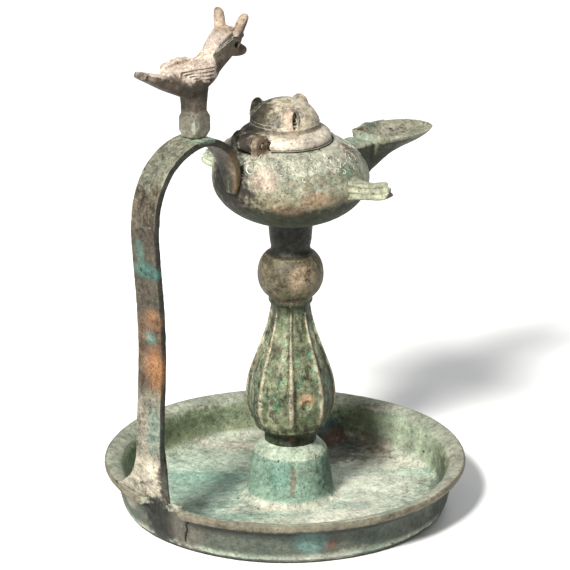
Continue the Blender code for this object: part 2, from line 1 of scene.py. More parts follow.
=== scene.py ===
"""The looks of an ancient bronze oil lamp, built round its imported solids.

Metres, +Z up; sizes in the classes are millimetres. The spout points along +X, the handle
and its bird stand at -X, and the origin is the centre of the drip tray's underside.
"""

import logging
import math
from collections.abc import Callable, Sequence
from dataclasses import dataclass
from enum import Enum

import bmesh
import bpy
import numpy as np
from mathutils import Matrix, Vector


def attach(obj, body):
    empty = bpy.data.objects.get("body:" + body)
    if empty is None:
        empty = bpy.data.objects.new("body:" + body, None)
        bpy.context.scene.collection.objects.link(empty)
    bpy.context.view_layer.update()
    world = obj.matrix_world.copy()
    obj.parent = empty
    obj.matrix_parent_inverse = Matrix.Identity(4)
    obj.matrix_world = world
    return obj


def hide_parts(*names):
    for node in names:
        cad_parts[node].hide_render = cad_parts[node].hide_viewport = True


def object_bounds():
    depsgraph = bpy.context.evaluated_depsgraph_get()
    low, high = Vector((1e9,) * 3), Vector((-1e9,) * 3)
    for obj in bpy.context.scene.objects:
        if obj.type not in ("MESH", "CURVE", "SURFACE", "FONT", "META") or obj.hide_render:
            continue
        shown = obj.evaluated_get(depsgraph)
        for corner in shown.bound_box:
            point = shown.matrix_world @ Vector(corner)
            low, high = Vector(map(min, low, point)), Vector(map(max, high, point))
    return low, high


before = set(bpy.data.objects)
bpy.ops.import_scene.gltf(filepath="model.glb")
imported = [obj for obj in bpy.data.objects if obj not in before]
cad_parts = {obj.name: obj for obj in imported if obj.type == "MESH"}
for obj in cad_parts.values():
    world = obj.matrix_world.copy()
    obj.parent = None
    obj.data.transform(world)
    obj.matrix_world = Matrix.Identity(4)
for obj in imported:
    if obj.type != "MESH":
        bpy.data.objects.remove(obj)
CAD_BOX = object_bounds()

MM = 0.001
LOG = logging.getLogger("oil_lamp")

Colour = tuple[float, float, float]
Pair = tuple[float, float]
Triple = tuple[float, float, float]
Socket = bpy.types.NodeSocket
Part = tuple[np.ndarray, list[tuple[int, ...]]]

X_AXIS, Y_AXIS, Z_AXIS = np.eye(3)
MERGE_DISTANCE = 1e-7
FLOAT = "NodeSocketFloat"
# The stem and the body stand a little off the tray's middle.
STEM_AXIS = (1.7, -1.8)
LID_MIDDLE = (-2.0, -1.8)


class Body(Enum):
    """The bodies that pieces ride on."""

    LAMP = "lamp"
    LID = "lid"


class Joining(Enum):
    """How one closed solid meets another."""

    CUT = "DIFFERENCE"
    ADD = "UNION"


# Curves and parts


def smooth_curve(points: Sequence[Sequence[float]], spacing: float, lead: int = 2) -> np.ndarray:
    """Run a smooth curve through rows of numbers.

    Args:
        points: The rows; the first numbers of each are its place.
        spacing: The wanted distance between the curve's points.
        lead: How many of a row's numbers are its place.

    Returns:
        The curve's rows, with every number interpolated.
    """
    rows = np.array(points, float)
    chords = np.linalg.norm(np.diff(rows[:, :lead], axis=0), axis=1)
    slopes = np.diff(rows, axis=0) / chords[:, None]
    before, after = chords[:-1, None], chords[1:, None]
    inner = (slopes[:-1] * after + slopes[1:] * before) / (before + after)
    tangents = np.vstack([slopes[:1], inner, slopes[-1:]])
    pieces = []
    for i, chord in enumerate(chords):
        t = np.linspace(0.0, 1.0, max(int(math.ceil(chord / spacing)), 1), endpoint=False)[:, None]
        pieces.append(
            (2 * t**3 - 3 * t**2 + 1) * rows[i]
            + (t**3 - 2 * t**2 + t) * chord * tangents[i]
            + (3 * t**2 - 2 * t**3) * rows[i + 1]
            + (t**3 - t**2) * chord * tangents[i + 1]
        )
    return np.vstack(pieces + [rows[-1:]])


def skin(rows: np.ndarray) -> Part:
    """Close a stack of rings into one body, with a fan over each end.

    Args:
        rows: Points of shape (rings, points round each ring, 3).

    Returns:
        The part's points and faces.
    """
    rings, count, _ = rows.shape
    points = np.vstack([rows.reshape(-1, 3), rows[0].mean(0), rows[-1].mean(0)])
    faces: list[tuple[int, ...]] = []
    for ring in range(rings - 1):
        low = ring * count
        high = low + count
        faces += [(low + i, low + (i + 1) % count, high + (i + 1) % count, high + i) for i in range(count)]
    start = rings * count
    last = (rings - 1) * count
    faces += [(start, (i + 1) % count, i) for i in range(count)]
    faces += [(start + 1, last + i, last + (i + 1) % count) for i in range(count)]
    return points, faces


def lathe(
    outline: np.ndarray, segments: int, centre: Callable[[np.ndarray], np.ndarray] | None = None
) -> Part:
    """Turn an outline of (radius, height) about the vertical; its ends lie on the axis.

    Args:
        outline: Rows of radius and height, from one end on the axis to the other.
        segments: Points round each ring.
        centre: Gives each outline row's centre (x, y), for a leaning body.

    Returns:
        The part's points and faces.
    """
    angles = np.arange(segments) * math.tau / segments
    middle = centre(outline) if centre else np.zeros((len(outline), 2))
    radius = outline[:, 0:1]
    x = middle[:, 0:1] + radius * np.cos(angles)
    y = middle[:, 1:2] + radius * np.sin(angles)
    z = np.repeat(outline[:, 1:2], segments, axis=1)
    return skin(np.stack([x, y, z], axis=2)[1:-1])


def rounded_ring(
    centre: np.ndarray,
    side: np.ndarray,
    up: np.ndarray,
    half: Sequence[float],
    count: int,
    power: float = 2.0,
) -> np.ndarray:
    """Place points on a ring between an ellipse (power 2) and a rectangle (a high power).

    Args:
        centre: The ring's middle.
        side: Unit vector along its width.
        up: Unit vector along its depth.
        half: Half its width and half its depth.
        count: How many points.
        power: How square it is.

    Returns:
        The ring's points.
    """
    angle = math.tau * (np.arange(count) + 0.5) / count
    across = np.sign(np.cos(angle)) * np.abs(np.cos(angle)) ** (2.0 / power) * half[0]
    along = np.sign(np.sin(angle)) * np.abs(np.sin(angle)) ** (2.0 / power) * half[1]
    return centre + across[:, None] * side + along[:, None] * up


def spine_part(
    stations: Sequence[Sequence[float]], y: float, count: int, power: float, spacing: float = 0.7
) -> Part:
    """Loft rings square to a spine in a plane of constant y.

    Args:
        stations: Rows of x, z, half width and half depth.
        y: The plane.
        count: Points round each ring.
        power: How square the section is.
        spacing: Distance between rings.

    Returns:
        The part's points and faces.
    """
    rows = smooth_curve(stations, spacing)
    tangents = np.gradient(rows[:, :2], axis=0)
    tangents /= np.linalg.norm(tangents, axis=1)[:, None]
    rings = []
    for (x, z, half_width, half_depth), (tx, tz) in zip(rows, tangents):
        up = np.array([-tz, 0.0, tx])
        rings.append(rounded_ring(np.array([x, y, z]), Y_AXIS, up, (half_width, half_depth), count, power))
    return skin(np.array(rings))


def y_rod(x: float, z: float, radius: float, y_from: float, y_to: float, count: int = 48) -> Part:
    """Make a round rod along Y.

    Args:
        x: Its axis in X.
        z: Its axis in Z.
        radius: Its radius.
        y_from: Its first end.
        y_to: Its other end.
        count: Points round it.

    Returns:
        The part's points and faces.
    """
    half = (radius, radius)
    ends = [rounded_ring(np.array([x, y, z]), X_AXIS, Z_AXIS, half, count) for y in (y_from, y_to)]
    return skin(np.array(ends))


def bearing(angle_deg: float) -> tuple[np.ndarray, np.ndarray]:
    """Return the level unit vectors that point along a bearing and to its left."""
    cos, sin = math.cos(math.radians(angle_deg)), math.sin(math.radians(angle_deg))
    return np.array([cos, sin, 0.0]), np.array([-sin, cos, 0.0])


def upright_arc(x: float, z: float, radius: float, degrees: Pair, count: int) -> np.ndarray:
    """Return points on an arc in the plane y = 0, from one angle above +X to another.

    Args:
        x: Its middle in X.
        z: Its middle in Z.
        radius: Its radius.
        degrees: The angles of its ends.
        count: How many points.

    Returns:
        The points.
    """
    angles = np.radians(np.linspace(*degrees, count))
    return np.stack([x + np.cos(angles) * radius, 0 * angles, z + np.sin(angles) * radius], axis=1)


def eased(share: np.ndarray) -> np.ndarray:
    """Return shares from 0 to 1 with a smooth start and end."""
    return share * share * (3.0 - 2.0 * share)


def waves(rows: Sequence[Triple], angle: np.ndarray) -> np.ndarray:
    """Return the sum of sine waves, given as rows of height, pace and phase."""
    return sum(height * np.sin(pace * angle + phase) for height, pace, phase in rows)


def upright(axis: Sequence[float]) -> Callable[[np.ndarray], np.ndarray]:
    """Return a function that gives every row of an outline the same centre."""
    return lambda rows: np.tile(axis, (len(rows), 1))


def shifted(part: Part, offset: Sequence[float]) -> Part:
    """Return the part moved by an offset."""
    return part[0] + np.array(offset), part[1]


def joined(parts: Sequence[Part]) -> Part:
    """Gather parts into one list of points and faces.

    Args:
        parts: The parts.

    Returns:
        All their points and faces.
    """
    points = []
    faces: list[tuple[int, ...]] = []
    offset = 0
    for part_points, part_faces in parts:
        points.append(part_points)
        faces += [tuple(index + offset for index in face) for face in part_faces]
        offset += len(part_points)
    return np.vstack(points), faces


# Objects and solids


def linked_object(name: str, data: bpy.types.ID) -> bpy.types.Object:
    """Make an object that holds the data, and link it to the scene.

    Args:
        name: The object's name.
        data: Its mesh, light or camera data.

    Returns:
        The object.
    """
    obj = bpy.data.objects.new(name, data)
    bpy.context.scene.collection.objects.link(obj)
    return obj


def make_object(name: str, part: Part) -> bpy.types.Object:
    """Turn a part, in millimetres, into an object in metres with its faces pointing out.

    Args:
        name: The object's name.
        part: Its points and faces.

    Returns:
        The object, linked to the scene.
    """
    mesh = bpy.data.meshes.new(name)
    mesh.from_pydata((part[0] * MM).tolist(), [], part[1])
    work = bmesh.new()
    work.from_mesh(mesh)
    bmesh.ops.remove_doubles(work, verts=work.verts, dist=MERGE_DISTANCE)
    bmesh.ops.recalc_face_normals(work, faces=work.faces)
    work.to_mesh(mesh)
    work.free()
    return linked_object(name, mesh)


def settle(obj: bpy.types.Object) -> bpy.types.Object:
    """Turn an object's modifiers into plain mesh and drop them.

    Args:
        obj: The object.

    Returns:
        The same object, with its evaluated mesh and no modifiers.
    """
    graph = bpy.context.evaluated_depsgraph_get()
    fresh = bpy.data.meshes.new_from_object(obj.evaluated_get(graph), depsgraph=graph)
    old = obj.data
    obj.modifiers.clear()
    obj.data = fresh
    fresh.name = obj.name
    bpy.data.meshes.remove(old)
    return obj


def voxel_union(obj: bpy.types.Object, voxel: float, soften: int = 2) -> bpy.types.Object:
    """Fuse an object's overlapping bodies into one evenly meshed skin.

    Args:
        obj: The object.
        voxel: Size of a mesh cell in millimetres.
        soften: Rounds of smoothing that wear its edges down.

    Returns:
        The same object.
    """
    remesh = obj.modifiers.new("fuse", "REMESH")
    remesh.mode = "VOXEL"
    remesh.voxel_size = voxel * MM
    remesh.use_smooth_shade = True
    if soften:
        wear = obj.modifiers.new("wear", "CORRECTIVE_SMOOTH")
        wear.factor = 0.5
        wear.iterations = soften
        wear.use_only_smooth = True
        wear.use_pin_boundary = False
    return settle(obj)


def carve(
    obj: bpy.types.Object, parts: Sequence[Part | bpy.types.Object], joining: Joining = Joining.CUT
) -> bpy.types.Object:
    """Cut closed solids from an object, or add them to it.

    Args:
        obj: The object, a closed mesh.
        parts: The solids, as parts or as objects that are used up.
        joining: Whether to cut or to add.

    Returns:
        The same object.
    """
    for part in parts:
        tool = part if isinstance(part, bpy.types.Object) else make_object("tool", part)
        modifier = obj.modifiers.new("carve", "BOOLEAN")
        modifier.operation = joining.value
        modifier.solver = "MANIFOLD"
        modifier.object = tool
        settle(obj)
        bpy.data.objects.remove(tool)
    return obj


# Node trees


class Graph:
    """Writes nodes into a tree and links them."""

    def __init__(self, tree: bpy.types.NodeTree) -> None:
        """Keep the tree to write in."""
        self.tree = tree

    def add(self, kind: str, inputs: dict | None = None, **settings: object) -> bpy.types.Node:
        """Add a node.

        Args:
            kind: The node's type.
            inputs: Values or output sockets by input name or number.
            settings: The node's own properties.

        Returns:
            The node.
        """
        node = self.tree.nodes.new(kind)
        for key, value in settings.items():
            setattr(node, key, value)
        for key, value in (inputs or {}).items():
            socket = node.inputs[key]
            if isinstance(value, Socket):
                self.tree.links.new(value, socket)
            else:
                socket.default_value = value
        return node

    def math(self, operation: str, *values: object) -> Socket:
        """Add a Math node and return its result."""
        return self.add("ShaderNodeMath", dict(enumerate(values)), operation=operation).outputs[0]

    def multiply(self, value: Socket, factor: object) -> Socket:
        """Return the value times a factor."""
        return self.math("MULTIPLY", value, factor)

    def invert(self, value: Socket) -> Socket:
        """Return one less the value."""
        return self.math("SUBTRACT", 1.0, value)

    def vector(self, operation: str, *values: object) -> Socket:
        """Add a Vector Math node and return the vector it gives."""
        return self.add("ShaderNodeVectorMath", dict(enumerate(values)), operation=operation).outputs[0]

    def scaled(self, vector: Socket, factor: object) -> Socket:
        """Return a place, an offset or a colour times a factor."""
        return self.add("ShaderNodeVectorMath", {0: vector, "Scale": factor}, operation="SCALE").outputs[0]

    def measure(self, operation: str, *values: object) -> Socket:
        """Add a Vector Math node and return the number it gives."""
        node = self.add("ShaderNodeVectorMath", dict(enumerate(values)), operation=operation)
        return node.outputs["Value"]

    def step(self, value: Socket, low: object, high: object) -> Socket:
        """Return the value eased from 0 at low to 1 at high."""
        settings = {"Value": value, "From Min": low, "From Max": high}
        return self.add("ShaderNodeMapRange", settings, interpolation_type="SMOOTHSTEP").outputs[0]


class GeometryGraph(Graph):
    """A Geometry Nodes tree with named inputs that ends in a realised mesh with a material."""

    def __init__(self, name: str, inputs: dict[str, tuple[str, float]]) -> None:
        """Start the tree.

        Args:
            name: The tree's name.
            inputs: Socket type and default value by input name.
        """
        super().__init__(bpy.data.node_groups.new(name, "GeometryNodeTree"))
        face = self.tree.interface
        face.new_socket("Geometry", in_out="INPUT", socket_type="NodeSocketGeometry")
        for key, (kind, default) in inputs.items():
            socket = face.new_socket(key, in_out="INPUT", socket_type=kind)
            socket.default_value = default
        face.new_socket("Material", in_out="INPUT", socket_type="NodeSocketMaterial")
        face.new_socket("Geometry", in_out="OUTPUT", socket_type="NodeSocketGeometry")
        self.start = self.add("NodeGroupInput")

    def given(self, key: str) -> Socket:
        """Return the socket of a named input."""
        return self.start.outputs[key]

    def moved(self, geometry: Socket, offset: Socket) -> Socket:
        """Return the geometry with its points moved by an offset."""
        return self.add("GeometryNodeSetPosition", {"Geometry": geometry, "Offset": offset}).outputs[0]

    def stored(self, geometry: Socket, name: str, value: object) -> Socket:
        """Return the geometry with a number stored on its points.

        Args:
            geometry: The geometry.
            name: The number's name.
            value: The number.

        Returns:
            The geometry with the number.
        """
        settings = {"Geometry": geometry, "Name": name, "Value": value}
        node = self.add("GeometryNodeStoreNamedAttribute", settings, data_type="FLOAT", domain="POINT")
        return node.outputs[0]

    def finish(self, geometry: Socket) -> bpy.types.NodeTree:
        """End the tree.

        Args:
            geometry: What it has made.

        Returns:
            The tree.
        """
        smooth = self.add("GeometryNodeSetShadeSmooth", {"Geometry": geometry})
        realised = self.add("GeometryNodeRealizeInstances", {"Geometry": smooth.outputs[0]})
        settings = {"Geometry": realised.outputs[0], "Material": self.given("Material")}
        dressed = self.add("GeometryNodeSetMaterial", settings)
        self.add("NodeGroupOutput", {"Geometry": dressed.outputs[0]})
        return self.tree


def run_tree(obj: bpy.types.Object, tree: bpy.types.NodeTree, values: dict[str, object]) -> bpy.types.Object:
    """Run a Geometry Nodes tree on an object and keep its result as plain mesh.

    Args:
        obj: The object.
        tree: The tree.
        values: Input values by name.

    Returns:
        The same object.
    """
    modifier = obj.modifiers.new(tree.name, "NODES")
    modifier.node_group = tree
    sockets = {item.name: item.identifier for item in tree.interface.items_tree if item.in_out == "INPUT"}
    for key, value in values.items():
        modifier[sockets[key]] = value
    return settle(obj)


def weathered_surface_tree() -> bpy.types.NodeTree:
    """Write the tree that roughens cast metal and stores how high each point stands as "relief".

    Returns:
        The tree.
    """
    sizes = {"Depth": (FLOAT, 0.0002), "Grain": (FLOAT, 0.005), "Pit Depth": (FLOAT, 0.0004)}
    sizes |= {"Pit Size": (FLOAT, 0.003), "Seed": (FLOAT, 0.0)}
    fine_share, worn_share = 0.3, 2.6
    pit_middle, pit_edge = 0.06, 0.3
    worn_from, worn_to = 0.5, 0.62
    graph = GeometryGraph("weathered_surface", sizes)
    place = graph.add("GeometryNodeInputPosition").outputs[0]
    normal = graph.add("GeometryNodeInputNormal").outputs[0]
    grain, depth, seed = (graph.given(key) for key in ("Grain", "Depth", "Seed"))

    def noise(size: Socket, detail: float) -> Socket:
        """Return noise of a feature size, about 0.5."""
        settings = {"Vector": place, "W": seed, "Scale": graph.math("DIVIDE", 1.0, size), "Detail": detail}
        return graph.add("ShaderNodeTexNoise", settings, noise_dimensions="4D").outputs[0]

    def swing(field: Socket, reach: float) -> Socket:
        """Return noise as a swing of some reach about 0."""
        return graph.math("MULTIPLY_ADD", field, 2.0 * reach, -reach)

    broad = noise(grain, detail=2.0)
    fine = noise(graph.multiply(grain, fine_share), detail=3.0)
    worn = noise(graph.multiply(grain, worn_share), detail=1.0)
    settings = {"Vector": place, "W": seed, "Scale": graph.math("DIVIDE", 1.0, graph.given("Pit Size"))}
    cells = graph.add("ShaderNodeTexVoronoi", settings, voronoi_dimensions="4D").outputs["Distance"]
    pit = graph.invert(graph.step(cells, pit_middle, pit_edge))
    pitted = graph.multiply(pit, graph.step(worn, worn_from, worn_to))
    swell = graph.multiply(graph.math("ADD", swing(broad, 1.0), swing(fine, 0.8)), depth)
    height = graph.math("SUBTRACT", swell, graph.multiply(pitted, graph.given("Pit Depth")))
    moved = graph.moved(graph.given("Geometry"), graph.scaled(normal, height))
    share = graph.math("DIVIDE", height, graph.multiply(depth, 2.0))
    return graph.finish(graph.stored(moved, "relief", graph.math("ADD", share, 0.5)))


def ribbed_baluster_tree() -> bpy.types.NodeTree:
    """Write the tree that hollows a turned shape between narrow upright ribs and stores them as "rib".

    Returns:
        The tree.
    """
    sizes = {"Rib Count": (FLOAT, 8.0), "Rib Height": (FLOAT, 0.0015), "Sharpness": (FLOAT, 5.0)}
    sizes |= {"Axis X": (FLOAT, 0.0), "Axis Y": (FLOAT, 0.0)}
    sizes |= {"Bottom": (FLOAT, 0.038), "Top": (FLOAT, 0.094), "Fade": (FLOAT, 0.01)}
    sways_per_metre, sway_reach = 90.0, 0.25
    full_height_radius = 0.02
    top_fade_share = 1.4
    graph = GeometryGraph("ribbed_baluster", sizes)
    place = graph.add("GeometryNodeInputPosition").outputs[0]
    settings = {"X": graph.given("Axis X"), "Y": graph.given("Axis Y")}
    axis = graph.add("ShaderNodeCombineXYZ", settings).outputs[0]
    level = graph.add("ShaderNodeSeparateXYZ", {"Vector": graph.vector("SUBTRACT", place, axis)}).outputs
    flat = graph.add("ShaderNodeCombineXYZ", {"X": level["X"], "Y": level["Y"]}).outputs[0]
    angle = graph.math("ARCTAN2", level["Y"], level["X"])
    settings = {"Vector": place, "Scale": sways_per_metre, "Detail": 1.0}
    noise = graph.add("ShaderNodeTexNoise", settings).outputs[0]
    sway = graph.math("MULTIPLY_ADD", noise, 2.0 * sway_reach, -sway_reach)
    wave = graph.math("COSINE", graph.math("ADD", graph.multiply(angle, graph.given("Rib Count")), sway))
    rib = graph.math("POWER", graph.math("MAXIMUM", wave, 0.0), graph.given("Sharpness"))
    bottom, top, fade = (graph.given(key) for key in ("Bottom", "Top", "Fade"))
    rise = graph.step(level["Z"], bottom, graph.math("ADD", bottom, fade))
    top_start = graph.math("SUBTRACT", top, graph.multiply(fade, top_fade_share))
    strength = graph.multiply(rise, graph.invert(graph.step(level["Z"], top_start, top)))
    girth = graph.math("SQRT", graph.math("DIVIDE", graph.measure("LENGTH", flat), full_height_radius))
    hollow = graph.multiply(graph.multiply(strength, girth), graph.invert(rib))
    inward = graph.multiply(hollow, graph.multiply(graph.given("Rib Height"), -1.0))
    moved = graph.moved(graph.given("Geometry"), graph.scaled(graph.vector("NORMALIZE", flat), inward))
    return graph.finish(graph.stored(moved, "rib", graph.multiply(rib, strength)))


def surface_lines_tree() -> bpy.types.NodeTree:
    """Write the tree that repeats a drawing round an axis and lays its lines on another object's surface.

    Returns:
        The tree.
    """
    fewest_corners = 3.0
    line_relief = 0.6
    sizes = {"Count": ("NodeSocketInt", 1), "Ring Radius": (FLOAT, 0.0), "Tilt": (FLOAT, 0.0)}
    sizes |= {"Centre": ("NodeSocketVector", (0.0, 0.0, 0.0)), "Line Radius": (FLOAT, 0.0003)}
    graph = GeometryGraph("surface_lines", sizes)
    graph.tree.interface.new_socket("Surface", in_out="INPUT", socket_type="NodeSocketObject")
    count = graph.given("Count")
    corners = graph.math("MAXIMUM", count, fewest_corners)
    ring = graph.add("GeometryNodeMeshCircle", {"Vertices": corners, "Radius": graph.given("Ring Radius")})
    number = graph.add("GeometryNodeInputIndex").outputs[0]
    compare = {"data_type": "FLOAT", "operation": "GREATER_EQUAL"}
    surplus = graph.add("FunctionNodeCompare", {"A": number, "B": count}, **compare).outputs[0]
    settings = {"Geometry": ring.outputs[0], "Selection": surplus}
    kept = graph.add("GeometryNodeDeleteGeometry", settings, domain="POINT")
    turn = graph.math("DIVIDE", graph.multiply(number, math.tau), corners)
    rotation = graph.add("ShaderNodeCombineXYZ", {"Y": graph.given("Tilt"), "Z": turn}).outputs[0]
    settings = {"Points": kept.outputs[0], "Instance": graph.given("Geometry"), "Rotation": rotation}
    copies = graph.add("GeometryNodeInstanceOnPoints", settings)
    settings = {"Geometry": copies.outputs[0], "Translation": graph.given("Centre")}
    placed = graph.add("GeometryNodeTransform", settings)
    plain = graph.add("GeometryNodeRealizeInstances", {"Geometry": placed.outputs[0]})
    surface = graph.add("GeometryNodeObjectInfo", {"Object": graph.given("Surface")}).outputs["Geometry"]
    nearest = graph.add("GeometryNodeProximity", {0: surface}, target_element="FACES")
    settings = {"Geometry": plain.outputs[0], "Position": nearest.outputs[0]}
    laid = graph.add("GeometryNodeSetPosition", settings)
    path = graph.add("GeometryNodeMeshToCurve", {"Mesh": laid.outputs[0]})
    settings = {"Resolution": 6, "Radius": graph.given("Line Radius")}
    section = graph.add("GeometryNodeCurvePrimitiveCircle", settings)
    settings = {"Curve": path.outputs[0], "Profile Curve": section.outputs[0], "Fill Caps": True}
    ribbon = graph.add("GeometryNodeCurveToMesh", settings)
    return graph.finish(graph.stored(ribbon.outputs[0], "relief", line_relief))


# Finishes

FIRST_COAT_SEED, COAT_SEED_STEP = 31.0, 5.3
RUBBED_STRENGTH = 0.75
RAISED_LIGHTNESS = 1.8
TONE_GAIN, AVERAGE_TONE, DARKEST_TONE = 1.3, 3.0, 0.2
BUMP_DEPTH = 0.0006
# How far a streaked pattern is squeezed along its direction, as a share of the distance.
STREAK_SQUEEZE = 0.8


@dataclass(frozen=True)
class Coat:
    """A colour that lies wherever noise of one size is high, drawn out along a streak if it has one."""

    colour: Colour
    share: float
    size: float
    strength: float = 0.8
    softness: float = 0.05
    streak: Triple | None = None


@dataclass(frozen=True)
class Patch:
    """A stretch of surface with a colour of its own, about a centre, in millimetres."""

    colour: Colour
    centre: Triple
    radii: Triple
    strength: float = 0.8


@dataclass(frozen=True)
class Zone:
    """A coloured band between two heights and two distances from an upright axis, in millimetres."""

    colour: Colour
    height: Pair
    radius: Pair = (-10.0, 500.0)
    strength: float = 0.8
    blur: float = 1.5
    axis: Pair = (0.0, 0.0)
    facing: Triple | None = None


@dataclass(frozen=True)
class Patina:
    """A procedural finish of old bronze: a ground with coats, zones and patches over it."""

    name: str
    slot: str
    ground: Colour
    coats: tuple[Coat, ...]
    zones: tuple[Zone, ...] = ()
    patches: tuple[Patch, ...] = ()
    pits: Colour = (0.03, 0.028, 0.018)
    edge_strength: float = 0.3
    rib_colour: Colour | None = None
    roughness: float = 0.66
    metal: float = 0.12
    contrast: float = 1.0

    def layers(self, graph: "ShaderGraph", middle: Socket) -> Socket:
        """Lay the coats, the zones and the patches over the ground.

        Args:
            graph: Where the nodes are written.
            middle: Noise that breaks up the edges.

        Returns:
            The colour.
        """
        colour = self.ground
        for number, coat in enumerate(self.coats):
            seed = FIRST_COAT_SEED + COAT_SEED_STEP * number
            field = graph.noise(coat.size, detail=6.0, seed=seed, roughness=0.65, streak=coat.streak)
            mask = graph.multiply(graph.cover(field, coat.share, coat.softness), coat.strength)
            colour = graph.blend(mask, colour, coat.colour)
        for zone in self.zones:
            colour = graph.blend(graph.zone(zone, middle), colour, zone.colour)
        for patch in self.patches:
            mask = graph.multiply(graph.within(patch, middle), patch.strength)
            colour = graph.blend(mask, colour, patch.colour)
        return colour

    def build(self) -> bpy.types.Material:
        """Write the finish as a material.

        Returns:
            The material.
        """
        material = bpy.data.materials.new(self.name)
        material.use_nodes = True
        tree = material.node_tree
        shader = tree.nodes["Principled BSDF"]
        graph = ShaderGraph(tree)
        broad = graph.noise(size=9.0, detail=4.0, seed=0.0)
        middle = graph.noise(size=2.6, detail=5.0, seed=3.1)
        fine = graph.noise(size=0.9, detail=4.0, seed=7.7)
        grit = graph.noise(size=0.4, detail=2.0, seed=12.3)
        relief = graph.attribute("relief")
        colour = self.layers(graph, middle)
        if self.rib_colour:
            rubbed = graph.step(graph.sum((graph.attribute("rib"), 1.0), (middle, 0.9)), low=0.85, high=1.3)
            colour = graph.blend(graph.multiply(rubbed, RUBBED_STRENGTH), colour, self.rib_colour)
        raised = graph.step(graph.sum((relief, 1.0), (fine, 0.5)), low=0.85, high=1.15)
        lighter = graph.scaled(colour, RAISED_LIGHTNESS)
        colour = graph.blend(graph.multiply(raised, self.edge_strength), colour, lighter)
        sunk = graph.invert(graph.step(graph.sum((relief, 1.0), (fine, 0.6)), low=0.35, high=0.62))
        pinholes = graph.pinholes(size=1.7, radius=0.16, where=broad)
        dark = graph.math("MAXIMUM", graph.multiply(sunk, 0.8), graph.multiply(pinholes, 0.85))
        colour = graph.blend(dark, colour, self.pits)
        tone = graph.sum((broad, 1.8), (middle, 1.5), (fine, 1.9), (grit, 0.8))
        gain = TONE_GAIN * self.contrast
        lightness = graph.math("MULTIPLY_ADD", tone, gain, 1.0 - AVERAGE_TONE * gain)
        colour = graph.scaled(colour, graph.math("MAXIMUM", lightness, DARKEST_TONE))
        tree.links.new(colour, shader.inputs["Base Color"])
        sheen = graph.multiply(graph.invert(graph.step(middle, low=0.42, high=0.62)), self.metal)
        metallic = graph.math("MAXIMUM", sheen, graph.multiply(dark, 0.35))
        tree.links.new(metallic, shader.inputs["Metallic"])
        roughness = graph.ranged(fine, low=self.roughness - 0.2, high=self.roughness + 0.22)
        tree.links.new(roughness, shader.inputs["Roughness"])
        height = graph.sum((fine, 0.6), (grit, 0.25), (middle, 0.8), (pinholes, -0.6))
        bump = graph.add("ShaderNodeBump", {"Strength": 0.7, "Distance": BUMP_DEPTH, "Height": height})
        tree.links.new(bump.outputs[0], shader.inputs["Normal"])
        shader.inputs["Specular IOR Level"].default_value = 0.3
        return material


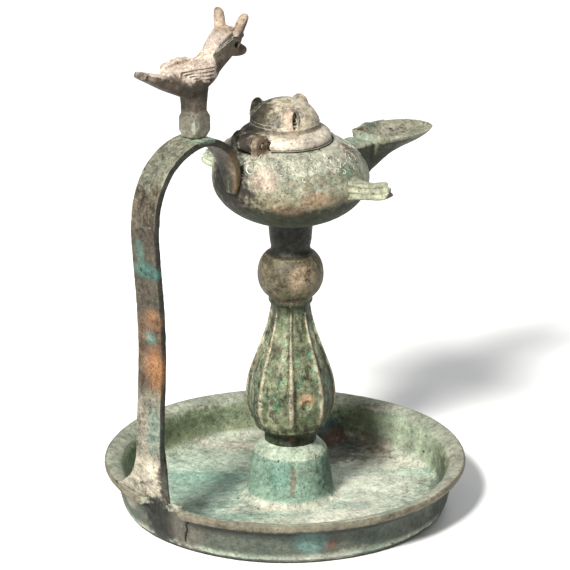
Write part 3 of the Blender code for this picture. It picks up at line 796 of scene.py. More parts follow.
class ShaderGraph(Graph):
    """Shader nodes of a patina, on Object coordinates."""

    def __init__(self, tree: bpy.types.NodeTree) -> None:
        """Start with the surface's place in millimetres and its direction.

        Args:
            tree: The tree to write in.
        """
        super().__init__(tree)
        coordinates = self.add("ShaderNodeTexCoord").outputs
        self.normal = coordinates["Normal"]
        self.place = self.scaled(coordinates["Object"], 1.0 / MM)

    def noise(
        self, size: float, detail: float, seed: float, roughness: float = 0.6, streak: Triple | None = None
    ) -> Socket:
        """Return noise with features of about a size in millimetres, five times as long along a streak.

        Args:
            size: The features' size.
            detail: How many finer layers it has.
            seed: Its place in the noise.
            roughness: How strong the finer layers are.
            streak: The direction that it is drawn out along, if any.

        Returns:
            The noise.
        """
        place = self.place
        if streak:
            direction = self.add("ShaderNodeCombineXYZ", dict(enumerate(streak))).outputs[0]
            along = self.scaled(direction, self.measure("DOT_PRODUCT", place, streak))
            place = self.vector("ADD", place, self.scaled(along, -STREAK_SQUEEZE))
        settings = {"Vector": place, "W": seed, "Scale": 1.0 / size, "Detail": detail, "Roughness": roughness}
        return self.add("ShaderNodeTexNoise", settings, noise_dimensions="4D").outputs[0]

    def attribute(self, name: str) -> Socket:
        """Return a number stored on the mesh."""
        return self.add("ShaderNodeAttribute", attribute_name=name).outputs["Fac"]

    def sum(self, *terms: tuple[Socket, float]) -> Socket:
        """Return the sum of sockets, each times its weight.

        Args:
            terms: Pairs of a socket and its weight.

        Returns:
            The sum.
        """
        total = self.multiply(*terms[0])
        for socket, weight in terms[1:]:
            total = self.math("MULTIPLY_ADD", socket, weight, total)
        return total

    def ranged(self, value: Socket, low: float, high: float) -> Socket:
        """Return noise, about 0.25 to 0.75, spread from low to high."""
        settings = {"Value": value, "From Min": 0.25, "From Max": 0.75, "To Min": low, "To Max": high}
        return self.add("ShaderNodeMapRange", settings).outputs[0]

    def cover(self, field: Socket, share: float, softness: float) -> Socket:
        """Return a mask over about a share, from 0 to 1, of a surface that carries noise.

        Args:
            field: The noise.
            share: The share to cover.
            softness: Half the width of the mask's edge.

        Returns:
            The mask.
        """
        noise_spread = 0.38
        middle = 0.5 + (0.5 - share) * noise_spread
        return self.step(field, middle - softness, middle + softness)

    def pinholes(self, size: float, radius: float, where: Socket) -> Socket:
        """Return a mask of small round pits.

        Args:
            size: Their spacing in millimetres.
            radius: Their radius, as a share of the spacing.
            where: Noise that gathers them in some places.

        Returns:
            The mask.
        """
        settings = {"Vector": self.place, "Scale": 1.0 / size}
        cells = self.add("ShaderNodeTexVoronoi", settings).outputs["Distance"]
        pits = self.invert(self.step(cells, radius * 0.6, radius * 1.5))
        return self.multiply(pits, self.step(where, low=0.44, high=0.6))

    def within(self, patch: Patch, edge: Socket) -> Socket:
        """Return a mask over a patch, with an edge that noise breaks up.

        Args:
            patch: The patch.
            edge: The noise.

        Returns:
            The mask.
        """
        offset = self.vector("SUBTRACT", self.place, patch.centre)
        reach = self.measure("LENGTH", self.vector("DIVIDE", offset, patch.radii))
        ragged = self.math("MULTIPLY_ADD", edge, 1.6, self.math("SUBTRACT", reach, 0.8))
        return self.invert(self.step(ragged, low=0.6, high=1.25))

    def between(
        self, value: Socket, low: float, high: float, blur: float
    ) -> Socket:
        """Return 1 where the value lies between low and high, eased over a blur."""
        rise = self.step(value, low - blur, low + blur)
        return self.multiply(rise, self.invert(self.step(value, high - blur, high + blur)))

    def zone(self, zone: Zone, edge: Socket) -> Socket:
        """Return a mask over a zone, with edges that noise breaks up.

        Args:
            zone: The zone.
            edge: The noise.

        Returns:
            The mask.
        """
        radius_blur = 0.5
        offset = self.vector("SUBTRACT", self.place, (*zone.axis, 0.0))
        parts = self.add("ShaderNodeSeparateXYZ", {0: offset}).outputs
        flat = self.add("ShaderNodeCombineXYZ", {0: parts[0], 1: parts[1]}).outputs[0]
        level = self.math("SUBTRACT", parts[2], 2.0 * zone.blur)
        ragged = self.math("MULTIPLY_ADD", edge, 4.0 * zone.blur, level)
        mask = self.multiply(self.between(ragged, *zone.height, zone.blur), zone.strength)
        mask = self.multiply(mask, self.between(self.measure("LENGTH", flat), *zone.radius, radius_blur))
        # A facing keeps the zone to faces that point that way; each use of it here is painted shade on faces
        # turned from the light.
        if zone.facing:
            toward = self.measure("DOT_PRODUCT", self.normal, zone.facing)
            mask = self.multiply(mask, self.step(toward, low=0.45, high=0.8))
        return mask

    def blend(self, mask: Socket, low: object, high: object) -> Socket:
        """Return low where the mask is 0 and high where it is 1.

        Args:
            mask: The mask.
            low: A colour or a socket.
            high: A colour or a socket.

        Returns:
            The blended colour.
        """
        node = self.add("ShaderNodeMix", data_type="RGBA")
        self.tree.links.new(mask, node.inputs["Factor"])
        for key, value in (("A", low), ("B", high)):
            socket = [item for item in node.inputs if item.name == key and item.type == "RGBA"][0]
            if isinstance(value, Socket):
                self.tree.links.new(value, socket)
            else:
                socket.default_value = (*value, 1.0)
        return [item for item in node.outputs if item.type == "RGBA"][0]


# The lamp's pieces. A profile is rows of radius and height, and a wave is height, pace and phase.


class Piece:
    """A finished piece of the lamp: its mesh, its finish and the node it stands for."""

    name: str
    node: str
    body: Body
    finish: Patina

    def dress(self, obj: bpy.types.Object, roughen: dict[str, float]) -> bpy.types.Object:
        """Roughen the piece, keep it in the solids' box, and fasten it to the frame.

        Args:
            obj: The piece's mesh object.
            roughen: Values for the weathered surface, in millimetres.

        Returns:
            The finished piece.
        """
        values = {key: value * (1.0 if key == "Seed" else MM) for key, value in roughen.items()}
        run_tree(obj, TREES["weathered"], {**values, "Material": self.finish.build()})
        low, high = (np.array(corner) for corner in CAD_BOX)
        places = np.empty(len(obj.data.vertices) * 3, np.float32)
        obj.data.vertices.foreach_get("co", places)
        places = np.clip(places.reshape(-1, 3), low, high).astype(np.float32)
        obj.data.vertices.foreach_set("co", places.ravel())
        obj.data.update()
        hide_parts(self.node)
        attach(obj, self.body.value)
        LOG.info("%s: %d faces on %s", obj.name, len(obj.data.polygons), self.body.value)
        return obj


@dataclass
class DripTray(Piece):
    """The round tray, with its boss, its flange and the flange's lost stretch."""

    finish: Patina
    rim_radius: float = 81.9
    wall_radius: float = 75.6
    height: float = 22.0
    floor: float = 3.2
    boss_top: float = 30.0
    segments: int = 280
    row_spacing: float = 1.0
    break_from: float = 173.5
    break_to: float = 189.0
    break_depth: float = 8.0
    break_stump: float = 0.4
    break_waves: tuple[Triple, ...] = ((0.55, 1.9, 0.0), (0.35, 4.3, 1.0))
    rim_sag: float = 0.25
    rim_waves: tuple[Triple, ...] = ((0.2, 3.0, 1.0), (0.12, 7.0, 0.0))
    axis: Pair = STEM_AXIS
    boss_reach: float = 26.0
    own_centre_from: float = 58.0
    name: str = "drip_tray"
    node: str = "tray"
    body: Body = Body.LAMP

    def outline(self) -> np.ndarray:
        """Return the profile from the boss's top, over the flange, to the underside.

        Returns:
            Rows of radius and height.
        """
        rim, wall, top = self.rim_radius, self.wall_radius, self.height
        floor, boss = self.floor, self.boss_top
        boss_side = [(0.0, boss), (11.4, boss), (12.2, boss - 0.2), (12.9, boss - 0.8), (15.4, boss - 3.4)]
        boss_side += [(16.3, boss - 4.5), (16.5, boss - 4.8), (16.8, boss - 5.8), (18.5, 13.6), (20.0, 6.0)]
        boss_side += [(20.5, 4.9), (21.8, 3.9), (25.0, floor + 0.2)]
        inner = [(31.0, floor), (60.0, floor), (66.6, floor + 0.8), (70.4, floor + 3.2), (72.2, floor + 7.4)]
        inner += [(73.2, top - 4.2), (75.2, top - 1.7), (79.4, top - 0.1)]
        outer = [(rim - 0.6, top), (rim, top - 1.3), (rim - 0.8, top - 3.2), (wall + 1.4, top - 5.4)]
        outer += [(wall, top - 8.4), (wall - 1.0, 6.0), (wall - 2.6, 1.6), (wall - 5.8, 0.0), (40.0, 0.0)]
        outer.append((0.0, 0.0))
        return smooth_curve(boss_side + inner + outer, self.row_spacing)

    def centres(self, outline: np.ndarray) -> np.ndarray:
        """Return each row's centre: the stem's axis near the boss, the tray's own further out.

        Args:
            outline: Rows of radius and height.

        Returns:
            Rows of x and y.
        """
        blend = self.own_centre_from - self.boss_reach
        near = eased(np.clip((self.own_centre_from - outline[:, 0]) / blend, 0.0, 1.0))
        underside = np.arange(len(outline)) > np.argmax(outline[:, 0])
        return np.where(underside, 0.0, near)[:, None] * np.array(self.axis)

    def break_flange(self, points: np.ndarray) -> np.ndarray:
        """Draw the flange in to a ragged fracture over its lost stretch.

        Args:
            points: The lathe's points.

        Returns:
            The points with the break.
        """
        radius = np.hypot(points[:, 0], points[:, 1])
        degrees = np.degrees(np.arctan2(points[:, 1], points[:, 0])) % 360.0
        inside = (degrees > self.break_from) & (degrees < self.break_to)
        inside &= points[:, 2] > self.height - self.break_depth
        fracture = self.wall_radius + self.break_stump + waves(self.break_waves, degrees)
        limit = np.where(inside, fracture, np.inf)
        pull = np.minimum(radius, limit) / np.maximum(radius, 1e-6)
        points[:, :2] *= pull[:, None]
        return points

    def build(self) -> bpy.types.Object:
        """Build and dress the tray.

        Returns:
            The piece.
        """
        points, faces = lathe(self.outline(), self.segments, self.centres)
        angle = np.arctan2(points[:, 1], points[:, 0])
        far = np.clip(np.hypot(points[:, 0], points[:, 1]) / self.rim_radius - 0.5, 0.0, 0.5) * 2.0
        above_foot = points[:, 2] > 1.0
        points[:, 2] -= far * above_foot * (self.rim_sag + waves(self.rim_waves, angle))
        obj = make_object(self.name, (self.break_flange(points), faces))
        return self.dress(obj, {"Depth": 0.16, "Grain": 6.0, "Pit Depth": 0.35, "Pit Size": 3.4, "Seed": 1.0})


@dataclass
class Stem(Piece):
    """The ribbed baluster, its knop and its flared neck."""

    finish: Patina
    bottom: float = 30.3
    top: float = 133.0
    ribs: int = 8
    rib_height: float = 1.5
    rib_sharpness: float = 6.0
    rib_bottom: float = 38.0
    rib_top: float = 96.5
    rib_fade: float = 5.0
    segments: int = 256
    row_spacing: float = 0.62
    axis: Pair = STEM_AXIS
    recess_angle: float = 247.0
    recess_height: float = 54.8
    recess_radius: float = 2.5
    recess_fall: float = 0.15
    recess_reach: Pair = (17.6, 24.0)
    name: str = "baluster_stem"
    node: str = "stem"
    body: Body = Body.LAMP

    def outline(self) -> np.ndarray:
        """Return the profile from the top to the foot.

        Returns:
            Rows of radius and height.
        """
        neck = [(0.0, self.top), (10.0, self.top), (9.9, self.top - 1.2)]
        neck += [(9.3, 125.0), (8.9, 120.8), (9.4, 119.7)]
        knop = [(11.2, 118.4), (13.4, 115.4), (14.7, 110.6), (14.4, 105.6)]
        knop += [(12.4, 101.2), (10.2, 98.8), (9.7, 98.0)]
        collar = [(9.9, 97.0), (9.6, 96.0), (9.1, 95.2)]
        baluster = [(9.3, 91.5), (10.2, 87.3), (11.8, 81.5), (13.9, 75.8), (16.0, 70.0), (18.1, 64.3)]
        baluster += [(19.6, 58.4), (20.3, 51.5), (19.9, 46.0), (18.4, 41.8), (16.6, 39.2), (15.9, 38.2)]
        foot = [(16.0, 37.5), (15.4, 36.9), (13.4, 36.1), (12.1, 35.0), (11.7, self.bottom + 1.0)]
        foot.append((11.7, self.bottom))
        return smooth_curve(neck + knop + collar + baluster + foot + [(0.0, self.bottom)], self.row_spacing)

    def recess(self) -> Part:
        """Return the cutter of the small round recess.

        Returns:
            The cutter.
        """
        outward, side = bearing(self.recess_angle)
        outward = outward - self.recess_fall * Z_AXIS
        outward /= np.linalg.norm(outward)
        up = np.cross(outward, side)
        middle = np.array([*self.axis, self.recess_height])
        half = (self.recess_radius, self.recess_radius)
        ends = [rounded_ring(middle + outward * reach, side, up, half, 40) for reach in self.recess_reach]
        return skin(np.array(ends))

    def build(self) -> bpy.types.Object:
        """Build and dress the stem.

        Returns:
            The piece.
        """
        obj = make_object(self.name, lathe(self.outline(), self.segments, upright(self.axis)))
        values = {"Rib Count": float(self.ribs), "Rib Height": self.rib_height * MM}
        values |= {"Sharpness": self.rib_sharpness}
        values |= {"Axis X": self.axis[0] * MM, "Axis Y": self.axis[1] * MM}
        values |= {"Bottom": self.rib_bottom * MM, "Top": self.rib_top * MM, "Fade": self.rib_fade * MM}
        run_tree(obj, TREES["ribbed"], values)
        carve(obj, [self.recess()])
        obj.data.materials.clear()
        return self.dress(obj, {"Depth": 0.1, "Grain": 4.0, "Pit Depth": 0.3, "Pit Size": 2.4, "Seed": 2.0})


@dataclass
class OilReservoir(Piece):
    """The hollow body with its mouth, covered channel, leaf-shaped trough, side fins and hinge lugs."""

    finish: Patina
    radius: float = 34.8
    bottom: float = 133.3
    top: float = 172.2
    wall: float = 2.4
    mouth_radius: float = 15.6
    mouth_shift: float = -3.7
    lean_from: float = 154.0
    voxel: float = 0.62
    spout_spacing: float = 0.7
    keel_steps: int = 48
    trough_side: float = 2.3
    trough_floor: float = 2.6
    segments: int = 160
    axis: Pair = STEM_AXIS
    hinge: Pair = (-25.4, 175.0)
    knuckle_radius: float = 4.4
    knuckle_room: float = 4.2
    lug_width: float = 3.4
    lug_middle: float = 5.9
    bore_radius: float = 1.5
    finger_tips: Triple = (0.0, -1.2, -3.4)
    # Each fin's x, the y of its root and tip, its root's height and its rise.
    fins: tuple = ((4.0, -29.0, -56.6, 154.6, 4.4), (-4.0, 29.0, 51.4, 152.8, 1.8))
    fin_voxel: float = 0.42
    name: str = "reservoir_body"
    node: str = "oil_reservoir"
    body: Body = Body.LAMP

    def outline(self) -> list[Pair]:
        """Return the outer side, from the mouth's flat ring down to the underside.

        Returns:
            Rows of radius and height.
        """
        upper = [(20.6, self.top), (23.6, 171.2), (27.8, 168.4), (31.4, 164.4), (33.9, 159.6)]
        lower = [(self.radius, 154.4), (34.0, 149.6), (31.4, 145.0), (26.8, 140.6)]
        return upper + lower + [(20.0, 136.8), (13.6, 134.4), (10.4, self.bottom)]

    def lean(self, outline: np.ndarray) -> np.ndarray:
        """Return each row's centre: the upper body leans toward the handle.

        Args:
            outline: Rows of radius and height.

        Returns:
            Rows of x and y.
        """
        share = np.clip((outline[:, 1] - self.lean_from) / (self.top - self.lean_from), 0.0, 1.0)
        shift = self.mouth_shift * eased(share)
        return np.stack([self.axis[0] + shift, np.full(len(outline), self.axis[1])], axis=1)

    def channel_and_leaf(self, stations: Sequence[Sequence[float]], inner: bool = False) -> np.ndarray:
        """Return rings across the spout: a flat rim with a rounded keel under it.

        Args:
            stations: Rows of x, half width, rim height, keel height and fullness.
            inner: Whether the rings lie inside the trough's wall, not on its outer side.

        Returns:
            The rings.
        """
        steps = self.keel_steps
        share = np.cos(np.pi * np.arange(steps + 1) / steps)
        rings = []
        for x, half_width, rim, keel, power in smooth_curve(stations, self.spout_spacing, lead=1):
            if inner:
                half_width = max(half_width - self.trough_side, 1.2)
                keel = min(keel + self.trough_floor, rim - 1.4)
                rim += 0.4
            depth = (1.0 - np.abs(share) ** power) * (rim - keel)
            rings.append(np.stack([np.full(steps + 1, x), share * half_width, rim - depth], axis=1))
        return np.array(rings)

    def spout(self) -> Part:
        """Return the covered channel and the leaf as one body.

        Returns:
            The body.
        """
        rows = [(26.0, 6.9, 160.6, 142.6, 3.4), (38.0, 6.9, 160.9, 142.4, 3.2)]
        rows += [(45.0, 6.9, 161.2, 143.0, 3.0), (48.2, 7.0, 161.3, 144.0, 2.8)]
        return shifted(skin(self.channel_and_leaf(rows + LEAF)), (*self.axis, 0.0))

    def trough(self) -> Part:
        """Return the cutter that opens the leaf.

        Returns:
            The cutter.
        """
        rings = self.channel_and_leaf(LEAF[1:-1], inner=True)
        lift = rings[:, [0, -1]] + 6.0 * Z_AXIS
        return shifted(skin(np.concatenate([lift[:, :1], rings, lift[:, 1:]], axis=1)), (*self.axis, 0.0))

    def fin(self, x: float, y_root: float, y_tip: float, z_root: float, rise: float) -> Part:
        """Return an upright fin of three stacked fingers with a notched tip.

        Args:
            x: The middle of its thickness.
            y_root: Where it leaves the body.
            y_tip: Its tip.
            z_root: The height of its root's middle.
            rise: How far it climbs to its tip.

        Returns:
            The fin.
        """
        # Share of the way out, share of the root's height, half thickness.
        rows = ((0.0, 1.7, 5.6), (0.28, 1.15, 3.3), (0.55, 1.0, 2.5), (0.88, 0.98, 2.2), (1.0, 0.8, 1.4))
        fingers, half_height, roundness, groove_depth = 3, 3.9, 0.7, 0.9
        edge_slope, tip_hold = 16.0, 6
        up = np.linspace(0.0, 1.0, 61)
        finger = np.minimum((up * fingers).astype(int), fingers - 1)
        bulge = np.abs(np.sin(np.pi * up * fingers)) ** roundness
        recede = np.array(self.finger_tips)[finger] + groove_depth * (bulge - 1.0)
        edge = np.clip(np.minimum(up, 1.0 - up) * edge_slope, 0.3, 1.0) ** 0.5
        rings = []
        for share, height_scale, half_thick in smooth_curve(rows, 0.03, lead=1):
            y = y_root + (y_tip - y_root) * share + math.copysign(1.0, y_tip) * recede * share**tip_hold
            z = z_root + rise * share * share + (2.0 * up - 1.0) * half_height * height_scale
            thick = half_thick * (0.5 + 0.5 * bulge) * edge
            near = np.stack([x + thick, y, z], axis=1)
            far = np.stack([x - thick, y, z], axis=1)[::-1]
            rings.append(np.vstack([near, far]))
        return shifted(skin(np.array(rings)), (*self.axis, 0.0))

    def lug(self, side: float) -> Part:
        """Return a hinge lug, on one side of the lid's knuckle.

        Args:
            side: -1 for the near side and 1 for the far one.

        Returns:
            The lug.
        """
        x, z = self.hinge
        round_top = upright_arc(x, z, self.knuckle_radius, (-20.0, 200.0), 40)
        outline = np.vstack([round_top, [[x - 4.4, 0.0, 165.0], [x + 4.6, 0.0, 168.4]]])
        half = self.lug_width / 2.0 * Y_AXIS
        middle = side * self.lug_middle * Y_AXIS
        return shifted(skin(np.array([outline + middle - half, outline + middle + half])), (*self.axis, 0.0))

    def cavity(self) -> Part:
        """Return the cutter of the oil's room and the mouth above it.

        Returns:
            The cutter.
        """
        wall, mouth, above = self.wall, self.mouth_radius, self.top + 4.0
        shoulder, belly = self.outline()[1:5], self.outline()[6:9]
        rows = [(0.0, above), (mouth, above), (mouth, self.top - 2.0)]
        rows += [(radius - wall, min(height, self.top - 1.6) - 1.0) for radius, height in shoulder]
        rows.append((self.radius - wall, 154.4))
        rows += [(radius - 0.9 * wall, height + 1.3) for radius, height in belly]
        rows += [(18.6, 139.0), (12.0, 136.8), (0.0, 136.2)]
        return lathe(np.array(rows), self.segments, self.lean)

    def channel(self) -> Part:
        """Return the cutter of the oil's way from the body into the trough.

        Returns:
            The cutter.
        """
        rings = []
        for x, low, high in ((24.0, 146.0, 157.4), (44.0, 147.4, 158.2), (54.0, 150.6, 158.6)):
            centre = np.array([x, 0.0, (low + high) / 2])
            rings.append(rounded_ring(centre, Y_AXIS, Z_AXIS, (4.4, (high - low) / 2), 40, 3.0))
        return shifted(skin(np.array(rings)), (*self.axis, 0.0))

    def build(self) -> bpy.types.Object:
        """Build and dress the reservoir.

        Returns:
            The piece.
        """
        outline = smooth_curve([(0.0, self.top)] + self.outline() + [(0.0, self.bottom)], 1.0)
        parts = [lathe(outline, self.segments, self.lean), self.spout(), self.lug(-1.0), self.lug(1.0)]
        obj = voxel_union(make_object(self.name, joined(parts)), self.voxel, 2)
        fins = [make_object("fin", self.fin(*row)) for row in self.fins]
        carve(obj, [voxel_union(fin, self.fin_voxel, 1) for fin in fins], Joining.ADD)
        x, z = self.hinge
        x += self.axis[0]
        y = self.axis[1]
        room = self.knuckle_room
        knuckle_room = y_rod(x, z, self.knuckle_radius + 0.7, y - room, y + room)
        bore = y_rod(x, z, self.bore_radius, y - 14.0, y + 14.0)
        carve(obj, [self.cavity(), self.trough(), self.channel(), bore, knuckle_room])
        return self.dress(obj, {"Depth": 0.14, "Grain": 6.5, "Pit Depth": 0.45, "Pit Size": 2.6, "Seed": 3.0})


@dataclass
class EngravedLines(Piece):
    """A drawing of fine lines that lies on another piece's surface, repeated round an axis."""

    finish: Patina
    surface: str
    drawing: list[np.ndarray]
    name: str
    body: Body = Body.LAMP
    count: int = 1
    ring_radius: float = 0.0
    tilt_deg: float = 0.0
    centre: Triple = (0.0, 0.0, 0.0)
    line_radius: float = 0.3

    def build(self) -> bpy.types.Object:
        """Lay the drawing on the surface and dress it.

        Returns:
            The piece.
        """
        mesh = bpy.data.meshes.new(self.name)
        points = np.vstack(self.drawing) * MM
        edges = []
        start = 0
        for line in self.drawing:
            edges += [(start + i, start + i + 1) for i in range(len(line) - 1)]
            start += len(line)
        mesh.from_pydata(points.tolist(), edges, [])
        obj = linked_object(self.name, mesh)
        values = {"Count": self.count, "Ring Radius": self.ring_radius * MM}
        values |= {"Tilt": math.radians(self.tilt_deg)}
        values |= {"Centre": [value * MM for value in self.centre], "Line Radius": self.line_radius * MM}
        values |= {"Surface": bpy.data.objects[self.surface], "Material": self.finish.build()}
        run_tree(obj, TREES["lines"], values)
        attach(obj, self.body.value)
        LOG.info("%s: %d faces on %s", obj.name, len(obj.data.polygons), self.body.value)
        return obj


def spiral(
    centre: Pair, radius: float, turns: float, start_deg: float, hand: float = 1.0
) -> np.ndarray:
    """Draw a flat spiral from its outside in.

    Args:
        centre: Its middle (x, y).
        radius: Its outer radius.
        turns: How many turns it makes.
        start_deg: The bearing of its outer end.
        hand: 1 to turn one way and -1 to turn the other.

    Returns:
        Its points.
    """
    points_a_turn, tightening = 28, 0.82
    t = np.linspace(0.0, 1.0, int(points_a_turn * turns) + 2)
    angle = np.radians(start_deg) + hand * math.tau * turns * t
    reach = radius * (1.0 - tightening * t)
    return np.stack([centre[0] + reach * np.cos(angle), centre[1] + reach * np.sin(angle), 0 * t], axis=1)


def arabesque(period: float) -> list[np.ndarray]:
    """Draw one period of a waving stem with a scroll in each bend and small leaves beside it.

    Args:
        period: The period's length.

    Returns:
        Its lines.
    """
    y = np.linspace(-period / 2.0, period / 2.0, 60)
    sweep = 2.6
    lines = [np.stack([sweep * np.sin(math.tau * y / period), y, 0 * y], axis=1)]
    for side in (-1.0, 1.0):
        bend = side * period / 4.0
        start = 90.0 - side * 90.0
        lines.append(spiral((side * -0.6, bend), radius=3.6, turns=1.4, start_deg=start, hand=side))
        lines.append(spiral((side * 4.6, bend + 3.4), radius=1.5, turns=0.8, start_deg=200.0, hand=-side))
        lines.append(spiral((side * -4.4, bend - 4.6), radius=1.3, turns=0.7, start_deg=20.0, hand=side))
    return lines


def rosette(radius: float) -> list[np.ndarray]:
    """Draw a circle with a ring of petals and a small inner circle.

    Args:
        radius: The circle's radius.

    Returns:
        Its lines.
    """
    angle = np.linspace(0.0, math.tau, 73)
    petals = 0.56 + 0.2 * np.cos(6.0 * angle)
    level = np.stack([np.cos(angle), np.sin(angle), 0 * angle], axis=1)
    return [radius * reach * level for reach in (1.0, petals[:, None], 0.2)]


def arc(radius: float, height: float, middle: Pair, reach_deg: float = 180.0) -> np.ndarray:
    """Draw a level arc about a middle, that reaches as far to both sides of the spout's direction.

    Args:
        radius: The arc's radius.
        height: Its height.
        middle: Its middle (x, y).
        reach_deg: How far it reaches to each side.

    Returns:
        The arc's points.
    """
    angle = np.radians(np.linspace(-reach_deg, reach_deg, 161))
    x, y = middle[0] + radius * np.cos(angle), middle[1] + radius * np.sin(angle)
    return np.stack([x, y, np.full(len(angle), height)], axis=1)


def polyline(points: Sequence[Triple], spacing: float = 0.5) -> np.ndarray:
    """Draw a smooth line through places in space."""
    return smooth_curve(points, spacing, lead=3)


# Stations along the leaf: x, half width, rim height, keel height, fullness of the section.
LEAF = [
    (48.7, 8.2, 162.6, 144.6, 2.5),
    (51.3, 10.3, 162.5, 146.2, 2.2),
    (54.4, 11.8, 162.4, 148.0, 2.0),
    (58.6, 13.4, 162.2, 150.2, 1.8),
    (64.4, 15.2, 161.9, 152.2, 1.7),
    (71.0, 14.8, 161.5, 153.2, 1.7),
    (77.0, 13.1, 161.1, 154.0, 1.7),
    (82.0, 10.4, 160.8, 154.9, 1.7),
    (85.4, 7.9, 160.6, 155.6, 1.8),
    (87.6, 5.6, 160.5, 156.2, 2.0),
    (88.7, 3.0, 160.5, 157.2, 2.0),
]


@dataclass
class HingedLid(Piece):
    """The domed lid with three ears on its shoulder and a knuckle at its back."""

    finish: Patina
    bottom: float = 172.5
    dome_top: float = 190.4
    dome_radius: float = 15.6
    radius: float = 20.2
    middle: Pair = LID_MIDDLE
    hinge: Pair = (-23.7, 175.0)
    knuckle_radius: float = 4.3
    knuckle_half: float = 3.8
    lug_room: float = 5.5
    lug_room_width: float = 4.4
    bore_radius: float = 1.5
    # Bearing, top and half width of each ear.
    ears: tuple[Triple, ...] = ((114.0, 189.6, 3.0), (234.0, 190.0, 3.8), (14.0, 189.4, 4.2))
    hollow_bearing: float = 241.0
    hollow_level: float = 184.4
    hollow_half: Pair = (1.35, 4.0)
    voxel: float = 0.4
    segments: int = 180
    name: str = "hinged_lid"
    node: str = "lid"
    body: Body = Body.LID

    def outside(self) -> list[Pair]:
        """Return the dome and the flange's sloping top.

        Returns:
            Rows of radius and height.
        """
        top = self.dome_top
        dome = [(0.0, top), (5.6, top - 0.6), (10.0, top - 2.6), (13.4, top - 6.0), (15.2, top - 9.6)]
        flange = [(17.4, 177.4), (19.4, 176.0), (20.4, 174.4), (self.radius, self.bottom)]
        return dome + [(self.dome_radius, top - 12.0)] + flange

    def inside(self) -> list[Pair]:
        """Return the hollow under the dome, from the rim up.

        Returns:
            Rows of radius and height.
        """
        top = self.dome_top
        side = [(13.0, self.bottom), (13.2, 177.0), (13.0, top - 10.4), (11.2, top - 6.6)]
        return side + [(8.4, top - 4.2), (4.6, top - 2.7), (0.0, top - 2.3)]

    def ear(self, angle_deg: float, top: float, half_width: float) -> Part:
        """Return a round-topped ear at a bearing on the dome's shoulder.

        Args:
            angle_deg: Its bearing.
            top: The height of its top.
            half_width: Half its width.

        Returns:
            The ear.
        """
        outward, side = bearing(angle_deg)
        foot = top - 9.8
        rows = [(foot, 14.4, 0.8, 1.61), (foot + 3.4, 13.8, 1.0, 2.185), (foot + 6.2, 13.1, 0.96, 2.53)]
        rows += [(foot + 8.4, 12.8, 0.7, 2.185), (top, 12.6, 0.3, 1.035)]
        rings = []
        for height, reach, width_share, half_out in smooth_curve(rows, 0.5, lead=1):
            centre = np.array([*self.middle, height]) + outward * reach
            rings.append(rounded_ring(centre, side, outward, (half_width * width_share, half_out), 32, 2.2))
        return skin(np.array(rings))

    def ear_hollow(self) -> Part:
        """Return the cutter of the hollow in the side of an ear, wider the further out.

        Returns:
            The cutter.
        """
        outward, side = bearing(self.hollow_bearing)
        half_width, half_height = self.hollow_half
        middle = np.array([*self.middle, self.hollow_level])
        rings = []
        for reach, size in ((12.6, 0.5), (13.2, 0.8), (14.2, 1.0), (16.0, 1.1), (19.0, 1.2)):
            half = (half_width * size, half_height * size)
            rings.append(rounded_ring(middle + outward * reach, side, Z_AXIS, half, 28))
        return skin(np.array(rings))

    def knuckle(self) -> Part:
        """Return the knuckle and the tongue that joins it to the flange.

        Returns:
            The knuckle.
        """
        x, z = self.hinge
        turn = upright_arc(x, z, self.knuckle_radius, (60.0, 250.0), 36)
        tongue = [[x + 1.6, 0.0, self.bottom], [x + 8.6, 0.0, self.bottom + 0.2], [x + 8.6, 0.0, z + 1.6]]
        outline = np.vstack([turn, tongue])
        ends = [outline + (self.middle[1] + side * self.knuckle_half) * Y_AXIS for side in (-1.0, 1.0)]
        return skin(np.array(ends))

    def build(self) -> bpy.types.Object:
        """Build and dress the lid.

        Returns:
            The piece.
        """
        shell = np.vstack([smooth_curve(self.outside(), 0.6), smooth_curve(self.inside(), 0.6)])
        parts = [lathe(shell, self.segments, upright(self.middle)), self.knuckle()]
        parts += [self.ear(*row) for row in self.ears]
        obj = voxel_union(make_object(self.name, joined(parts)), self.voxel, 2)
        x, z = self.hinge
        y = self.middle[1]
        near, far = self.knuckle_half, self.knuckle_half + self.lug_room_width
        rooms = [y_rod(x, z, self.lug_room, y + low, y + high) for low, high in ((-far, -near), (near, far))]
        carve(obj, rooms + [y_rod(x, z, self.bore_radius, y - 9.0, y + 9.0), self.ear_hollow()])
        return self.dress(obj, {"Depth": 0.12, "Grain": 5.0, "Pit Depth": 0.3, "Pit Size": 2.6, "Seed": 4.0})


@dataclass
class HingePin(Piece):
    """The round pin through the lugs and the lid's knuckle."""

    finish: Patina
    hinge: Triple = (-23.7, -1.8, 175.0)
    radius: float = 1.2
    length: float = 16.6
    name: str = "pin"
    node: str = "hinge_pin"
    body: Body = Body.LAMP

    def build(self) -> bpy.types.Object:
        """Build and dress the pin.

        Returns:
            The piece.
        """
        x, y, z = self.hinge
        half = self.length / 2.0
        rows = [(-half, 0.4), (-half + 0.15, 0.85), (-half + 0.5, 1.1), (-half + 1.0, self.radius)]
        rows += [(-row[0], row[1]) for row in rows[::-1]]
        rings = []
        for along, wide in smooth_curve(rows, 0.3, lead=1):
            rings.append(rounded_ring(np.array([x, y + along, z]), X_AXIS, Z_AXIS, (wide, wide), 40))
        obj = make_object(self.name, skin(np.array(rings)))
        return self.dress(obj, {"Depth": 0.03, "Grain": 2.0, "Pit Depth": 0.04, "Pit Size": 1.2, "Seed": 5.0})


